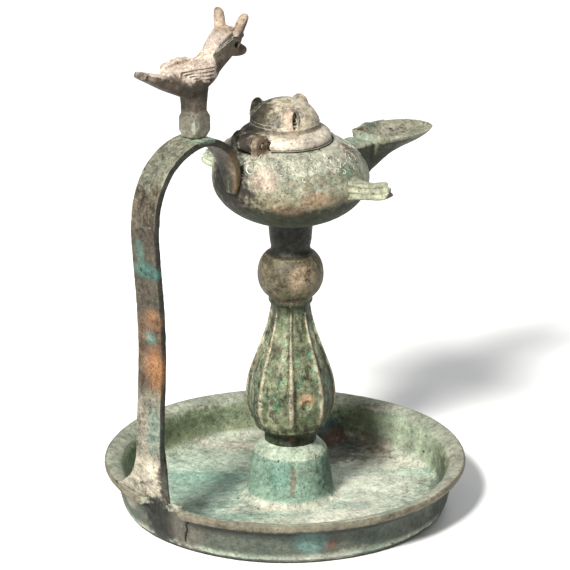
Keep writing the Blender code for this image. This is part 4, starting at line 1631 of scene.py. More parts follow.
@dataclass
class HandleStrap(Piece):
    """The bent strap from the tray's rim, over its crown, to the body, with a spread foot."""

    finish: Patina
    foot_z: float = 22.4
    foot_bottom: float = 20.1
    foot_corners: tuple = ((-76.8, 14.6), (-75.2, 30.4), (-69.6, 26.6), (-76.3, -5.8))
    foot_sweeps: tuple[float, ...] = (3.6, 3.0, 2.4, 1.0)
    foot_rows: int = 70
    across: int = 30
    through: int = 12
    bevel: float = 0.7
    path_spacing: float = 0.8
    voxel: float = 0.55
    seat_gap: float = 0.1
    name: str = "strap"
    node: str = "handle_strap"
    body: Body = Body.LAMP

    def path(self) -> np.ndarray:
        """Return the strap's middle line: x, y, z, width and thickness.

        Returns:
            The line's rows.
        """
        rise = [(-77.4, 7.0, 48.0, 15.2, 3.6), (-77.0, 6.4, 68.0, 15.0, 3.4), (-76.8, 5.6, 90.0, 15.0, 3.4)]
        rise += [(-78.6, 4.4, 112.0, 15.0, 3.4), (-81.8, 3.0, 135.0, 15.0, 3.4)]
        rise += [(-83.4, 2.0, 150.0, 15.0, 3.4), (-81.8, 1.2, 163.0, 15.0, 3.4)]
        arch = [(-75.2, 0.4, 174.8, 15.0, 3.4), (-65.2, -0.6, 181.6, 15.0, 3.4)]
        arch += [(-55.6, -1.2, 183.2, 14.6, 3.4), (-45.4, -1.6, 179.4, 13.6, 3.4)]
        end = [(-38.2, -1.8, 171.0, 12.0, 3.4), (-35.2, -1.8, 162.0, 9.4, 3.2)]
        end.append((-35.0, -1.8, 154.6, 5.4, 2.4))
        return smooth_curve(rise + arch + end, self.path_spacing, lead=3)

    def ring(self, corners: np.ndarray) -> np.ndarray:
        """Return a ring through four corners, rounded by the bevel.

        Args:
            corners: The corners, in order.

        Returns:
            The ring's points.
        """
        rows = []
        for i in range(4):
            before, corner, after = corners[i - 1], corners[i], corners[(i + 1) % 4]
            inward = (before - corner) / np.linalg.norm(before - corner) * self.bevel
            onward = (after - corner) / np.linalg.norm(after - corner) * self.bevel
            rows += [corner + inward * (1 - t) ** 2 + onward * t * t for t in (0.15, 0.5, 0.85)]
            steps = np.linspace(0.0, 1.0, self.through if i % 2 else self.across)[1:-1]
            rows += [corner + onward + (after - corner - 2.0 * onward) * t for t in steps]
        return np.array(rows)

    def build(self) -> bpy.types.Object:
        """Build and dress the strap.

        Returns:
            The piece.
        """
        path = self.path()
        places = path[:, :3]
        flat = np.gradient(places[:, [0, 2]], axis=0)
        flat /= np.linalg.norm(flat, axis=1)[:, None]
        out = np.stack([-flat[:, 1], 0 * flat[:, 0], flat[:, 0]], axis=1) * path[:, 4:5] / 2.0
        side = Y_AXIS * path[:, 3:4] / 2.0
        outer, inner = places + out, places - out
        corners = np.stack([outer - side, outer + side, inner + side, inner - side], axis=1)
        foot = []
        for t in np.linspace(1.0, 0.0, self.foot_rows, endpoint=False):
            row = []
            for corner, (x, y), power in zip(corners[0], self.foot_corners, self.foot_sweeps):
                spread = np.array([t**power, t**power, t])
                row.append(corner + (np.array([x, y, self.foot_z]) - corner) * spread)
            foot.append(row)
        low = np.array([[[x, y, self.foot_bottom] for x, y in self.foot_corners]])
        rows = np.concatenate([low, np.array(foot), corners])
        obj = make_object(self.name, skin(np.array([self.ring(row) for row in rows])))
        voxel_union(obj, self.voxel, 2)
        # The room the tray takes: its inner side, over the flange and down the outer side.
        gap = self.seat_gap
        seat = [(0.0, 3.2), (68.0, 3.2), (72.0 - gap, 10.6), (73.2 - gap, 18.0), (75.2 - gap, 20.5 + gap)]
        seat += [(79.4, 21.9 + gap), (81.4, 22.0 + gap), (82.0 + gap, 20.8), (81.0, 18.8 - gap)]
        seat += [(77.0, 16.6), (75.6, 13.6), (74.0, -1.0), (0.0, -1.0)]
        carve(obj, [lathe(np.array(seat), 256)])
        return self.dress(obj, {"Depth": 0.14, "Grain": 6.0, "Pit Depth": 0.3, "Pit Size": 2.8, "Seed": 6.0})


@dataclass
class BirdFinial(Piece):
    """The horned bird on a square post over a faceted bead."""

    finish: Patina
    y: float = -1.2
    crown_x: float = -56.5
    bead_low: float = 185.3
    eye: Pair = (-36.2, 222.4)
    eye_radius: float = 1.45
    voxel: float = 0.32
    name: str = "bird"
    node: str = "bird_finial"
    body: Body = Body.LAMP

    def bead(self) -> Part:
        """Return the bead, a block with its corners cut away.

        Returns:
            The bead.
        """
        half, high, cut, sharp = 4.8, 5.7, 2.7, 0.05
        rings = []
        for z, corner in ((-high, cut), (-high + cut, sharp), (high - cut, sharp), (high, cut)):
            inner = half - corner
            ring = [(half, -inner), (half, inner), (inner, half), (-inner, half)]
            ring += [(-half, inner), (-half, -inner), (-inner, -half), (inner, -half)]
            rings.append([[self.crown_x + a, self.y + b, self.bead_low + high + z] for a, b in ring])
        return skin(np.array(rings))

    def post(self) -> Part:
        """Return the square post under the body.

        Returns:
            The post.
        """
        rings = []
        for z, half in ((9.0, 4.6), (14.0, 4.7), (22.0, 5.4), (26.0, 5.6)):
            centre = np.array([self.crown_x - 0.4, self.y, self.bead_low + z])
            rings.append(rounded_ring(centre, Y_AXIS, X_AXIS, (half, half), 32, 4.0))
        return skin(np.array(rings))

    def horn(self, side: float) -> Part:
        """Return one horn, leaning outward from the top of the head.

        Args:
            side: -1 for the near side and 1 for the far one.

        Returns:
            The horn.
        """
        root = 226.0
        rows = [(-36.2, root, 2.6, 2.6), (-35.6, 229.8, 2.5, 2.4), (-34.8, 233.2, 2.3, 2.2)]
        rows += [(-34.4, 235.2, 1.8, 1.7), (-34.2, 236.1, 0.9, 0.8)]
        points, faces = spine_part(rows, self.y, 32, 2.0, 0.3)
        along = np.clip((points[:, 2] - root) / 2.6, 0.0, 4.0)
        points[:, 1] += side * (4.6 + 0.9 * along) - 0.4
        return points, faces

    def wing(self, side: float) -> Part:
        """Return a folded wing, a raised plate whose edges end in feather tips.

        Args:
            side: -1 for the near side and 1 for the far one.

        Returns:
            The wing.
        """
        t = np.linspace(0.0, 1.0, 90)
        front, length, tips = -52.4, 18.4, 4.0
        top, swell, low, climb = 217.4, 1.2, 210.4, 4.8
        root, thick, thinning = 3.0, 8.2, 2.0
        x = front - length * t
        scallop = np.abs(np.sin(np.pi * tips * t))
        upper = np.stack([x, 0 * x, top + swell * np.sin(np.pi * t) + 0.5 * scallop], axis=1)
        lower = np.stack([x, 0 * x, low + climb * t * t - 0.9 * scallop], axis=1)
        outline = np.vstack([upper, lower[::-1]])
        behind = np.concatenate([t, t[::-1]])
        inner = outline + (self.y + side * root) * Y_AXIS
        outer = outline.copy()
        outer[:, 1] += self.y + side * (thick - thinning * behind)
        return skin(np.array([inner, outer]))

    def feathers(self, side: float) -> list[Part]:
        """Return the overlapping feather ridges on one wing, each shorter than the one under it.

        Args:
            side: -1 for the near side and 1 for the far one.

        Returns:
            The ridges.
        """
        ridges = []
        count, spacing, front, back = 5, 1.55, -51.4, -70.6
        shorter_in_front, shorter_behind, narrowing = 0.7, 1.9, 0.8
        stand_off, slant = 7.9, 0.1
        for number in range(count):
            drop = spacing * number
            tip_drop = narrowing * drop
            start, end = front - shorter_in_front * number, back + shorter_behind * number
            rows = [(start, 216.6 - drop, 0.4, 0.3), (start - 3.0, 216.9 - drop, 1.0, 0.75)]
            rows.append((0.5 * (start + end), 217.2 - drop, 1.2, 0.8))
            rows += [(end + 2.0, 217.4 - tip_drop, 0.9, 0.7), (end, 217.2 - tip_drop, 0.35, 0.3)]
            points, faces = spine_part(rows, self.y, 20, 2.0, 0.5)
            points[:, 1] += side * (stand_off - slant * (front - points[:, 0]) + 0.15 * number)
            ridges.append((points, faces))
        return ridges

    def build(self) -> bpy.types.Object:
        """Build and dress the bird.

        Returns:
            The piece.
        """
        # Rows of x, z, half width and half depth.
        body = [(-74.6, 214.6, 3.6, 1.8), (-70.0, 213.4, 6.2, 3.6), (-64.0, 211.8, 7.6, 5.2)]
        body += [(-57.0, 211.4, 7.8, 5.8), (-51.0, 213.4, 6.8, 5.6), (-46.6, 216.4, 5.0, 5.2)]
        head = [(-52.0, 211.6, 4.2, 5.0), (-46.4, 216.6, 4.4, 5.2), (-41.6, 220.8, 4.9, 5.6)]
        head += [(-38.0, 224.0, 5.6, 5.4), (-35.4, 227.2, 5.6, 3.8), (-34.6, 229.2, 4.4, 2.2)]
        tail = [(-88.2, 218.2, 3.6, 1.5), (-82.0, 215.6, 4.4, 2.3), (-73.0, 211.6, 5.6, 3.2)]
        tail.append((-62.0, 207.2, 6.0, 4.0))
        beak = [(-36.4, 220.6, 4.2, 4.0), (-31.0, 218.4, 3.4, 3.0), (-27.6, 217.4, 2.4, 2.0)]
        beak.append((-26.0, 217.0, 1.2, 1.2))
        brow = [(-34.0, 225.2, 2.6, 2.2), (-29.0, 224.2, 2.0, 1.8), (-27.4, 223.8, 1.0, 1.0)]
        parts = [self.bead(), self.post()]
        parts += [spine_part(body, self.y, 60, 2.6), spine_part(head, self.y, 60, 5.0)]
        parts += [spine_part(tail, self.y, 48, 3.4), spine_part(beak, self.y, 40, 2.4, 0.4)]
        parts.append(spine_part(brow, self.y, 32, 2.2, 0.4))
        parts += [self.wing(-1.0), self.wing(1.0), self.horn(-1.0), self.horn(1.0)]
        parts += self.feathers(-1.0) + self.feathers(1.0)
        obj = voxel_union(make_object(self.name, joined(parts)), self.voxel, 1)
        eye_x, eye_z = self.eye
        carve(obj, [y_rod(eye_x, eye_z, self.eye_radius, self.y - 9.0, self.y + 9.0)])
        return self.dress(obj, {"Depth": 0.07, "Grain": 3.5, "Pit Depth": 0.18, "Pit Size": 2.0, "Seed": 7.0})


# Finishes of the pieces, with the zones and patches that the photograph shows; some of them are painted
# shade, shadow or highlight, marked where they stand.

TRAY_FINISH = Patina(
    "verdigris_tray",
    "verdigris",
    (0.33, 0.38, 0.3),
    coats=(
        Coat((0.45, 0.42, 0.34), 0.42, 24.0, 0.75, streak=(0.69, -0.72, 0.0)),
        Coat((0.15, 0.27, 0.21), 0.36, 17.0, 0.75, streak=(0.69, -0.72, 0.0)),
        Coat((0.13, 0.14, 0.1), 0.16, 8.0, 0.6, streak=(0.69, -0.72, 0.0)),
        Coat((0.5, 0.5, 0.42), 0.2, 3.4, 0.4),
        Coat((0.1, 0.2, 0.16), 0.1, 1.6, 0.45),
    ),
    zones=(
        Zone((0.04, 0.045, 0.034), (-3.0, 18.6), (74.2, 90.0), 0.9, 1.0),
        Zone((0.03, 0.034, 0.026), (-3.0, 2.4), (60.0, 90.0), 0.9, 0.5),
        # Painted shadow: a near-black band on the outer wall just under the flange.
        Zone((0.014, 0.016, 0.012), (14.6, 18.8), (75.0, 90.0), 0.75, 0.8),
        Zone((0.12, 0.145, 0.075), (6.5, 19.5), (60.0, 74.4), 0.8, 1.2),
        Zone((0.19, 0.19, 0.14), (19.2, 30.0), (72.0, 90.0), 0.75, 0.8),
        Zone((0.1, 0.07, 0.04), (14.0, 22.6), (80.9, 90.0), 0.65, 0.5),
        # Painted shade and light: the boss's side is painted darker and its sloping top lighter, as the light
        # falls.
        Zone((0.14, 0.235, 0.175), (6.0, 24.8), (-10.0, 21.0), 0.8, 0.5, STEM_AXIS),
        Zone((0.3, 0.36, 0.27), (25.2, 30.6), (-10.0, 21.0), 0.8, 0.3, STEM_AXIS),
        Zone((0.42, 0.41, 0.33), (2.0, 6.4), (-10.0, 24.5), 0.6, 1.0, STEM_AXIS),
    ),
    patches=(
        Patch((0.17, 0.29, 0.23), (-28.0, 32.0, 3.2), (38.0, 30.0, 8.0), 0.4),
        Patch((0.5, 0.46, 0.38), (-16.0, -46.0, 3.2), (36.0, 24.0, 5.0), 0.6),
        Patch((0.45, 0.44, 0.36), (34.0, -26.0, 3.2), (20.0, 24.0, 5.0), 0.5),
        # Partly painted shadow of the stem and body on the far floor, partly dark patina.
        Patch((0.04, 0.045, 0.036), (44.0, 18.0, 3.2), (28.0, 13.0, 8.0), 0.7),
        Patch((0.085, 0.1, 0.05), (-10.0, 73.0, 12.0), (46.0, 12.0, 9.0), 0.6),
        Patch((0.3, 0.35, 0.26), (70.0, -18.0, 12.0), (9.0, 30.0, 10.0), 0.6),
        Patch((0.016, 0.022, 0.02), (46.0, -62.0, 10.0), (34.0, 30.0, 9.0), 0.6),
        # Partly painted shadow on the far right of the floor, partly a dark teal stain.
        Patch((0.03, 0.055, 0.06), (60.0, 36.0, 3.2), (24.0, 14.0, 12.0), 0.9),
        Patch((0.2, 0.1, 0.07), (62.0, 27.0, 3.2), (12.0, 6.0, 5.0), 0.6),
        Patch((0.2, 0.11, 0.08), (68.0, 8.0, 4.0), (6.0, 12.0, 5.0), 0.5),
        Patch((0.1, 0.2, 0.18), (-46.0, -60.0, 11.0), (9.0, 8.0, 6.0), 0.55),
        Patch((0.13, 0.05, 0.035), (-38.0, -65.0, 9.0), (3.0, 3.0, 2.4), 0.6),
        # Partly painted shade on the outer wall under the strap's foot, partly dark patina.
        Patch((0.015, 0.015, 0.012), (-75.2, 3.0, 10.0), (5.0, 11.0, 14.0), 0.95),
        Patch((0.11, 0.1, 0.08), (-75.0, -12.0, 11.0), (6.0, 10.0, 12.0), 0.6),
        Patch((0.3, 0.29, 0.23), (-70.0, 30.0, 14.0), (8.0, 9.0, 5.0), 0.8),
        Patch((0.09, 0.22, 0.17), (-14.5, -11.0, 19.0), (7.0, 7.0, 7.0), 0.45),
        Patch((0.2, 0.12, 0.09), (-10.8, -15.4, 17.0), (1.6, 1.6, 8.0), 0.6),
        # Painted shade on the boss's side turned from the key light.
        Patch((0.05, 0.085, 0.065), (10.0, -17.0, 15.0), (10.0, 9.0, 11.0), 0.7),
    ),
    edge_strength=0.22,
    contrast=0.72,
)
STEM_FINISH = Patina(
    "dark_ribbed_bronze",
    "dark_bronze",
    (0.12, 0.135, 0.078),
    coats=(
        Coat((0.3, 0.285, 0.2), 0.38, 7.0, 0.65, streak=(0.0, 0.0, 1.0)),
        Coat((0.03, 0.028, 0.015), 0.38, 3.4, 0.8, streak=(0.0, 0.0, 1.0)),
        Coat((0.06, 0.19, 0.115), 0.28, 4.0, 0.7),
        Coat((0.36, 0.3, 0.22), 0.12, 1.6, 0.6),
    ),
    zones=(
        # Partly painted shade: the neck under the body is painted near black, over its dark patina.
        Zone((0.006, 0.0055, 0.004), (118.6, 140.0), strength=0.97, blur=0.6),
        Zone((0.075, 0.055, 0.033), (97.5, 119.0), strength=0.8),
        Zone((0.02, 0.024, 0.012), (92.0, 98.5), strength=0.75),
        Zone((0.02, 0.026, 0.014), (28.0, 38.0), strength=0.9, blur=0.8),
    ),
    patches=(
        Patch((0.28, 0.19, 0.11), (-6.0, -19.6, 54.6), (4.6, 4.6, 3.6), 0.95),
        # Painted highlight: a tan sheen on the knop's lit side.
        Patch((0.34, 0.25, 0.165), (-4.0, -14.5, 111.0), (8.0, 5.0, 6.0), 0.45),
        Patch((0.2, 0.06, 0.03), (-7.2, -11.3, 33.5), (2.0, 2.0, 1.4), 0.8),
        # Painted shade on the baluster's side turned from the key light.
        Patch((0.035, 0.045, 0.022), (21.0, -12.0, 60.0), (15.0, 18.0, 34.0), 0.9),
    ),
    rib_colour=(0.33, 0.28, 0.2),
    pits=(0.014, 0.013, 0.008),
    edge_strength=0.2,
    roughness=0.5,
    metal=0.35,
    contrast=1.1,
)
BODY_FINISH = Patina(
    "grey_green_body",
    "grey_green",
    (0.19, 0.19, 0.135),
    coats=(
        Coat((0.33, 0.32, 0.25), 0.4, 12.0, 0.6),
        Coat((0.1, 0.1, 0.06), 0.34, 7.0, 0.65),
        Coat((0.24, 0.175, 0.11), 0.26, 3.2, 0.65),
        Coat((0.15, 0.25, 0.17), 0.28, 3.4, 0.6),
        Coat((0.035, 0.03, 0.018), 0.14, 1.8, 0.6),
    ),
    zones=(
        Zone((0.14, 0.11, 0.066), (141.0, 156.0), (-10.0, 36.0), 0.6, 2.4, STEM_AXIS),
        # Partly painted shade: the body's underside is painted near black, over its dark green patina.
        Zone((0.016, 0.021, 0.011), (120.0, 149.5), (-10.0, 36.0), 0.93, 2.6, STEM_AXIS),
        Zone((0.34, 0.335, 0.265), (164.0, 173.0), (-10.0, 36.0), 0.6, 1.6, STEM_AXIS),
        # Painted shade: the spout's and fins' undersides and near sides, picked out by the way their faces
        # point.
        Zone((0.012, 0.015, 0.008), (120.0, 160.2), (36.6, 110.0), 0.95, 0.8, STEM_AXIS, (0.0, -0.9, -0.43)),
        Zone((0.012, 0.015, 0.008), (120.0, 159.0), (36.6, 110.0), 0.95, 0.8, STEM_AXIS, (0.0, 0.0, -1.0)),
    ),
    patches=(
        Patch((0.16, 0.075, 0.05), (13.0, -24.0, 167.0), (6.0, 5.0, 4.5), 0.75),
        Patch((0.02, 0.015, 0.012), (-32.5, 4.0, 158.0), (9.0, 17.0, 15.0), 0.93),
        Patch((0.36, 0.28, 0.22), (-27.5, -15.0, 162.0), (7.0, 7.0, 6.0), 0.65),
        Patch((0.22, 0.145, 0.085), (-14.0, -32.0, 153.4), (7.0, 6.0, 4.0), 0.65),
        Patch((0.16, 0.105, 0.062), (-24.0, -25.0, 149.4), (7.0, 7.0, 3.4), 0.6),
        Patch((0.08, 0.17, 0.115), (4.0, -32.0, 162.0), (5.0, 5.0, 4.0), 0.45),
        Patch((0.24, 0.27, 0.19), (18.0, -32.0, 158.0), (10.0, 8.0, 8.0), 0.6),
        Patch((0.26, 0.265, 0.19), (4.0, -50.0, 157.0), (8.0, 17.0, 8.0), 0.75),
        Patch((0.03, 0.022, 0.015), (6.0, -59.0, 156.0), (5.0, 2.6, 3.0), 0.9),
        Patch((0.24, 0.27, 0.2), (-4.0, 48.0, 154.0), (8.0, 14.0, 8.0), 0.8),
        Patch((0.22, 0.27, 0.2), (46.0, -1.8, 162.0), (9.0, 8.0, 2.0), 0.8),
        Patch((0.2, 0.12, 0.07), (56.0, 7.0, 160.0), (5.0, 5.0, 4.0), 0.7),
        Patch((0.2, 0.19, 0.14), (72.0, -1.8, 158.0), (20.0, 15.0, 3.0), 0.6),
        Patch((0.12, 0.076, 0.05), (-24.0, -8.0, 174.0), (6.0, 3.4, 7.0), 0.92),
        Patch((0.012, 0.01, 0.007), (-24.0, 6.0, 174.0), (6.0, 8.0, 8.0), 0.95),
    ),
    pits=(0.018, 0.017, 0.01),
    edge_strength=0.25,
    contrast=0.95,
)
LID_FINISH = Patina(
    "pale_lid",
    "lid_crust",
    (0.36, 0.31, 0.23),
    coats=(
        Coat((0.47, 0.42, 0.34), 0.36, 6.0, 0.6),
        Coat((0.15, 0.12, 0.07), 0.34, 3.6, 0.7),
        Coat((0.2, 0.25, 0.17), 0.22, 2.4, 0.6),
        Coat((0.05, 0.04, 0.024), 0.12, 1.6, 0.6),
    ),
    zones=(
        Zone((0.43, 0.38, 0.32), (170.0, 177.6), strength=0.7, blur=0.8),
        Zone((0.06, 0.045, 0.028), (178.2, 180.0), strength=0.65, blur=0.4),
    ),
    patches=(
        Patch((0.035, 0.03, 0.017), (-16.5, 4.0, 185.0), (10.0, 14.0, 11.0), 0.9),
        Patch((0.06, 0.05, 0.03), (-2.0, 10.0, 188.0), (12.0, 9.0, 8.0), 0.75),
        Patch((0.34, 0.24, 0.18), (-9.8, -13.5, 184.0), (4.0, 4.0, 6.0), 0.7),
        # Painted shade in the hollow of the front ear.
        Patch((0.03, 0.022, 0.014), (-8.2, -13.2, 184.3), (2.6, 2.4, 4.2), 0.85),
        Patch((0.012, 0.009, 0.006), (-25.0, -1.8, 175.0), (7.0, 6.0, 6.0), 0.95),
        Patch((0.15, 0.11, 0.065), (12.0, -6.0, 182.0), (8.0, 10.0, 10.0), 0.5),
    ),
    pits=(0.022, 0.018, 0.011),
    edge_strength=0.28,
    roughness=0.56,
    contrast=0.85,
)
PIN_FINISH = Patina(
    "dark_pin",
    "dark_bronze",
    (0.09, 0.065, 0.038),
    coats=(Coat((0.22, 0.18, 0.12), 0.4, 1.4, 0.6), Coat((0.025, 0.02, 0.012), 0.4, 0.8, 0.7)),
    roughness=0.5,
    metal=0.4,
)
STRAP_FINISH = Patina(
    "brown_strap",
    "brown_crust",
    (0.075, 0.061, 0.041),
    coats=(
        Coat((0.15, 0.128, 0.092), 0.36, 9.0, 0.65, streak=(0.0, 0.0, 1.0)),
        Coat((0.022, 0.018, 0.012), 0.42, 4.0, 0.85, streak=(0.0, 0.0, 1.0)),
        Coat((0.06, 0.13, 0.095), 0.18, 2.8, 0.65),
        Coat((0.24, 0.18, 0.125), 0.18, 1.8, 0.55),
    ),
    zones=(
        Zone((0.17, 0.175, 0.13), (168.0, 190.0), (55.0, 110.0), 0.6, 4.0),
        Zone((0.038, 0.03, 0.019), (104.0, 150.0), (60.0, 110.0), 0.55, 6.0),
        Zone((0.1, 0.055, 0.03), (72.0, 108.0), (60.0, 110.0), 0.6, 5.0),
        Zone((0.235, 0.22, 0.165), (34.0, 73.0), (60.0, 110.0), 0.68, 5.0),
        Zone((0.4, 0.36, 0.28), (15.0, 42.0), (60.0, 110.0), 0.78, 3.0),
        # Painted shade: faces that point to the near side are painted near black, partly their dark patina.
        Zone((0.012, 0.012, 0.008), (10.0, 190.0), (20.0, 110.0), 0.92, 1.0, facing=(0.0, -1.0, 0.0)),
    ),
    patches=(
        Patch((0.045, 0.13, 0.105), (-84.0, 2.0, 130.0), (6.0, 9.0, 4.2), 0.75),
        Patch((0.05, 0.12, 0.095), (-84.0, 5.0, 139.0), (5.0, 3.0, 6.0), 0.55),
        Patch((0.24, 0.11, 0.042), (-84.0, 1.5, 84.0), (9.0, 9.0, 12.0), 0.85),
        Patch((0.2, 0.095, 0.04), (-84.0, 1.5, 107.0), (8.0, 6.0, 6.0), 0.75),
        Patch((0.05, 0.15, 0.125), (-84.0, 4.4, 97.6), (8.0, 4.6, 3.4), 0.8),
        Patch((0.04, 0.03, 0.02), (-84.0, -4.0, 96.0), (6.0, 4.0, 9.0), 0.6),
        Patch((0.22, 0.29, 0.21), (-56.0, -4.0, 185.0), (7.0, 6.0, 2.5), 0.75),
        Patch((0.1, 0.065, 0.03), (-40.0, -6.3, 172.0), (9.0, 3.0, 7.0), 0.7),
        Patch((0.12, 0.075, 0.033), (-34.5, -6.3, 160.0), (3.0, 3.0, 10.0), 0.7),
        Patch((0.09, 0.2, 0.165), (-84.0, 3.0, 56.0), (8.0, 5.0, 16.0), 0.5),
        # Partly painted shade on the foot's dark wedge and near side, partly dark patina.
        Patch((0.016, 0.016, 0.012), (-76.6, 3.0, 19.6), (4.0, 8.0, 3.4), 0.9),
        Patch((0.016, 0.016, 0.012), (-76.6, -3.0, 32.0), (4.0, 5.0, 14.0), 0.9),
    ),
    pits=(0.012, 0.01, 0.006),
    edge_strength=0.2,
    roughness=0.52,
    metal=0.25,
    contrast=1.05,
)
BIRD_FINISH = Patina(
    "pale_bird",
    "pale_crust",
    (0.43, 0.35, 0.285),
    coats=(
        Coat((0.52, 0.43, 0.36), 0.4, 7.0, 0.6),
        Coat((0.22, 0.17, 0.125), 0.34, 4.4, 0.6),
        Coat((0.3, 0.31, 0.25), 0.22, 2.0, 0.5),
        Coat((0.09, 0.065, 0.043), 0.18, 1.3, 0.7),
    ),
    zones=(
        Zone((0.055, 0.06, 0.042), (180.0, 197.5), strength=0.84, blur=0.9),
        # Partly painted shade under the bird's body, on the post, partly dark patina.
        Zone((0.032, 0.023, 0.014), (197.0, 210.0), strength=0.9, blur=0.8),
        Zone((0.3, 0.25, 0.22), (218.0, 228.0), (-10.0, 48.0), 0.6, 1.2),
        Zone((0.23, 0.165, 0.11), (228.0, 240.0), strength=0.75, blur=1.2),
        # Painted shade: faces that point down or to the near side, and the head's near side, are painted
        # dark.
        Zone((0.035, 0.027, 0.019), (195.0, 240.0), (20.0, 110.0), 0.92, 1.0, facing=(0.0, -0.5, -0.87)),
        Zone((0.065, 0.05, 0.034), (207.0, 228.5), (-10.0, 49.5), 0.9, 0.8, facing=(0.3, -0.95, 0.0)),
        Zone((0.08, 0.06, 0.04), (200.0, 224.0), (70.0, 110.0), 0.75, 0.8, facing=(0.0, -0.9, -0.43)),
    ),
    patches=(
        # Painted shade under the near wing and the tail.
        Patch((0.035, 0.026, 0.018), (-61.0, -5.4, 207.6), (15.0, 9.0, 4.6), 0.94),
        Patch((0.045, 0.034, 0.023), (-79.0, -5.6, 212.2), (14.0, 7.0, 4.4), 0.9),
        Patch((0.03, 0.026, 0.02), (-89.6, -2.4, 218.6), (3.4, 8.0, 6.0), 0.85),
        # Painted shade on the near side of the head, neck and breast.
        Patch((0.06, 0.046, 0.031), (-38.4, -8.4, 219.4), (8.0, 5.6, 6.0), 0.94),
        Patch((0.06, 0.046, 0.031), (-43.6, -8.4, 212.0), (6.4, 6.4, 6.4), 0.94),
        Patch((0.05, 0.035, 0.022), (-30.6, -2.6, 221.6), (5.0, 6.0, 4.4), 0.85),
        Patch((0.25, 0.25, 0.2), (-61.0, -6.0, 190.5), (3.0, 2.0, 3.0), 0.8),
        # Painted shade in the eye hole.
        Patch((0.012, 0.01, 0.008), (-36.2, -6.0, 222.4), (1.9, 3.0, 1.9), 0.95),
    ),
    pits=(0.04, 0.03, 0.02),
    edge_strength=0.28,
    contrast=0.75,
)

LINE_FINISH = Patina(
    "pale_engraving",
    "grey_green",
    (0.35, 0.365, 0.3),
    coats=(Coat((0.2, 0.21, 0.155), 0.4, 3.0, 0.8), Coat((0.5, 0.48, 0.4), 0.3, 1.2, 0.6)),
)
DARK_LINE_FINISH = Patina(
    "dark_engraving",
    "grey_green",
    (0.012, 0.01, 0.008),
    coats=(Coat((0.05, 0.04, 0.028), 0.35, 2.0, 0.7),),
)

TREES = {
    "weathered": weathered_surface_tree(),
    "ribbed": ribbed_baluster_tree(),
    "lines": surface_lines_tree(),
}


@dataclass(frozen=True)
class Studio:
    """The plain pale floor, the soft lights and the camera of the photograph."""

    azimuth: float = -46.0
    tilt: float = 19.5
    distance: float = 1386.0
    height: float = 594.0
    lens: float = 208.4
    white: Colour = (0.9, 0.9, 0.89)
    floor_reach: float = 6.0
    sky: float = 0.3
    target: Triple = (0.0, 0.0, 0.1)

    def camera(self) -> None:
        """Place the camera that the photograph implies."""
        a, e = math.radians(self.azimuth), math.radians(self.tilt)
        back = Vector((math.sin(a) * math.cos(e), -math.cos(a) * math.cos(e), math.sin(e)))
        right = Vector((math.cos(a), math.sin(a), 0.0))
        turn = Matrix((right, back.cross(right), back)).transposed()
        data = bpy.data.cameras.new("camera")
        data.lens = self.lens
        data.sensor_width = 36.0
        camera = linked_object("camera", data)
        place = Vector((math.sin(a) * self.distance, -math.cos(a) * self.distance, self.height)) * MM
        camera.matrix_world = Matrix.Translation(place) @ turn.to_4x4()
        bpy.context.scene.camera = camera

    def lamp(self, name: str, place: Triple, size: float, power: float, colour: Colour) -> None:
        """Hang a soft square light that faces the lamp.

        Args:
            name: The light's name.
            place: Where it hangs, in metres.
            size: Its side.
            power: Its strength in watts.
            colour: Its colour.
        """
        data = bpy.data.lights.new(name, "AREA")
        data.shape = "SQUARE"
        data.size = size
        data.energy = power
        data.color = colour
        light = linked_object(name, data)
        light.location = place
        light.rotation_euler = (Vector(self.target) - Vector(place)).to_track_quat("-Z", "Y").to_euler()

    def floor(self) -> None:
        """Lay the floor and its material."""
        reach = self.floor_reach
        corners = [(-reach, -reach, 0.0), (reach, -reach, 0.0), (reach, reach, 0.0), (-reach, reach, 0.0)]
        mesh = bpy.data.meshes.new("floor")
        mesh.from_pydata(corners, [], [(0, 1, 2, 3)])
        floor = linked_object("floor", mesh)
        material = bpy.data.materials.new("paper")
        material.use_nodes = True
        graph = Graph(material.node_tree)
        shader = material.node_tree.nodes["Principled BSDF"]
        place = graph.add("ShaderNodeTexCoord").outputs["Object"]
        grain = graph.add("ShaderNodeTexNoise", {"Vector": place, "Scale": 900.0, "Detail": 2.0}).outputs[0]
        bump = graph.add("ShaderNodeBump", {"Strength": 0.04, "Distance": 0.0001, "Height": grain})
        material.node_tree.links.new(bump.outputs[0], shader.inputs["Normal"])
        shader.inputs["Base Color"].default_value = (*self.white, 1.0)
        shader.inputs["Roughness"].default_value = 0.9
        mesh.materials.append(material)

    def build(self) -> None:
        """Set the whole studio up."""
        world = bpy.data.worlds.new("studio")
        world.use_nodes = True
        background = world.node_tree.nodes["Background"]
        background.inputs["Color"].default_value = (1.0, 1.0, 1.0, 1.0)
        background.inputs["Strength"].default_value = self.sky
        bpy.context.scene.world = world
        self.lamp("key", (-1.42, -0.42, 1.42), size=0.36, power=82.0, colour=(1.0, 0.985, 0.95))
        self.lamp("fill", (1.3, 0.4, 1.0), size=0.6, power=9.0, colour=(0.95, 0.98, 1.0))
        self.floor()
        self.camera()
        bpy.context.scene.view_settings.view_transform = "Standard"


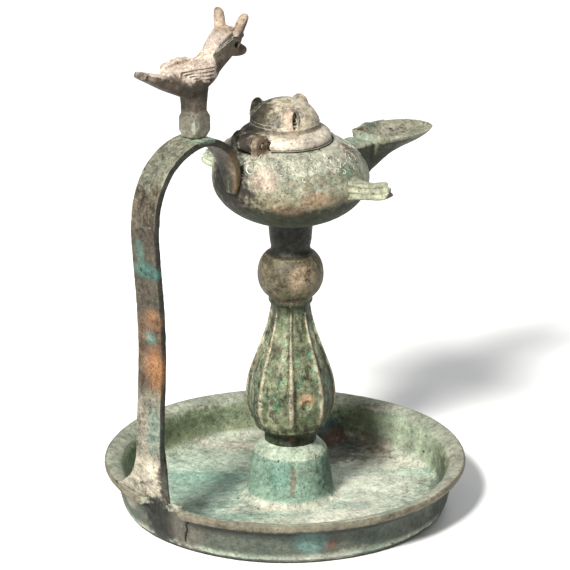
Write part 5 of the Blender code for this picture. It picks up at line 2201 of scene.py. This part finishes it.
def engravings() -> list[EngravedLines]:
    """List the fine lines: scrolls, rosettes, arcs, the neck's pair, the crack, the seam and the notch.

    Returns:
        The pieces.
    """
    body, lid, bird, tray = "reservoir_body", "hinged_lid", "bird", "drip_tray"
    middle = LID_MIDDLE
    shoulder = EngravedLines(
        LINE_FINISH, body, arabesque(26.0), "shoulder_scrolls",
        count=7, ring_radius=28.4, tilt_deg=46.0, centre=(-1.0, -1.8, 166.6),
    )
    rosettes = EngravedLines(
        LINE_FINISH, lid, rosette(4.6), "lid_rosette", Body.LID,
        count=3, ring_radius=12.2, tilt_deg=52.0, centre=(*middle, 186.0), line_radius=0.2,
    )
    rings = [arc(15.4, 180.4, middle), arc(15.3, 182.0, middle)]
    arcs = EngravedLines(LINE_FINISH, lid, rings, "lid_arc_lines", Body.LID, line_radius=0.13)
    arris = np.array(((-47.9, -6.6, 220.9), (-43.0, -6.6, 223.3), (-38.6, -6.6, 225.6)))
    pair = [polyline(arris), polyline(arris + 0.9 * Z_AXIS)]
    neck = EngravedLines(LINE_FINISH, bird, pair, "bird_neck_lines", line_radius=0.16)
    crack = ((-74.1, -14.0, 19.0), (-74.2, -13.4, 16.1), (-74.4, -12.1, 13.9))
    crack += ((-74.4, -12.3, 12.0), (-74.6, -11.2, 8.4), (-74.6, -10.9, 5.5))
    split = EngravedLines(DARK_LINE_FINISH, tray, [polyline(crack)], "tray_crack", line_radius=0.5)
    under_lid = [arc(20.9, 171.4, middle, 152.0)]
    seam = EngravedLines(DARK_LINE_FINISH, body, under_lid, "mouth_seam", line_radius=0.42)
    edge = ((-20.2, -9.9, 176.9), (-20.7, -9.7, 175.2), (-20.6, -9.9, 173.6), (-20.2, -10.4, 172.6))
    notch = EngravedLines(DARK_LINE_FINISH, lid, [polyline(edge)], "lid_notch", Body.LID, line_radius=0.55)
    return [shoulder, rosettes, arcs, neck, split, seam, notch]


def main() -> None:
    """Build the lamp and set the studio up."""
    logging.basicConfig(level=logging.INFO, format="%(name)s: %(message)s")
    pieces = [
        DripTray(TRAY_FINISH),
        Stem(STEM_FINISH),
        OilReservoir(BODY_FINISH),
        HingedLid(LID_FINISH),
        HingePin(PIN_FINISH),
        HandleStrap(STRAP_FINISH),
        BirdFinial(BIRD_FINISH),
    ]
    pieces += engravings()
    for piece in pieces:
        piece.build()
    Studio().build()


if __name__ == "__main__":
    main()
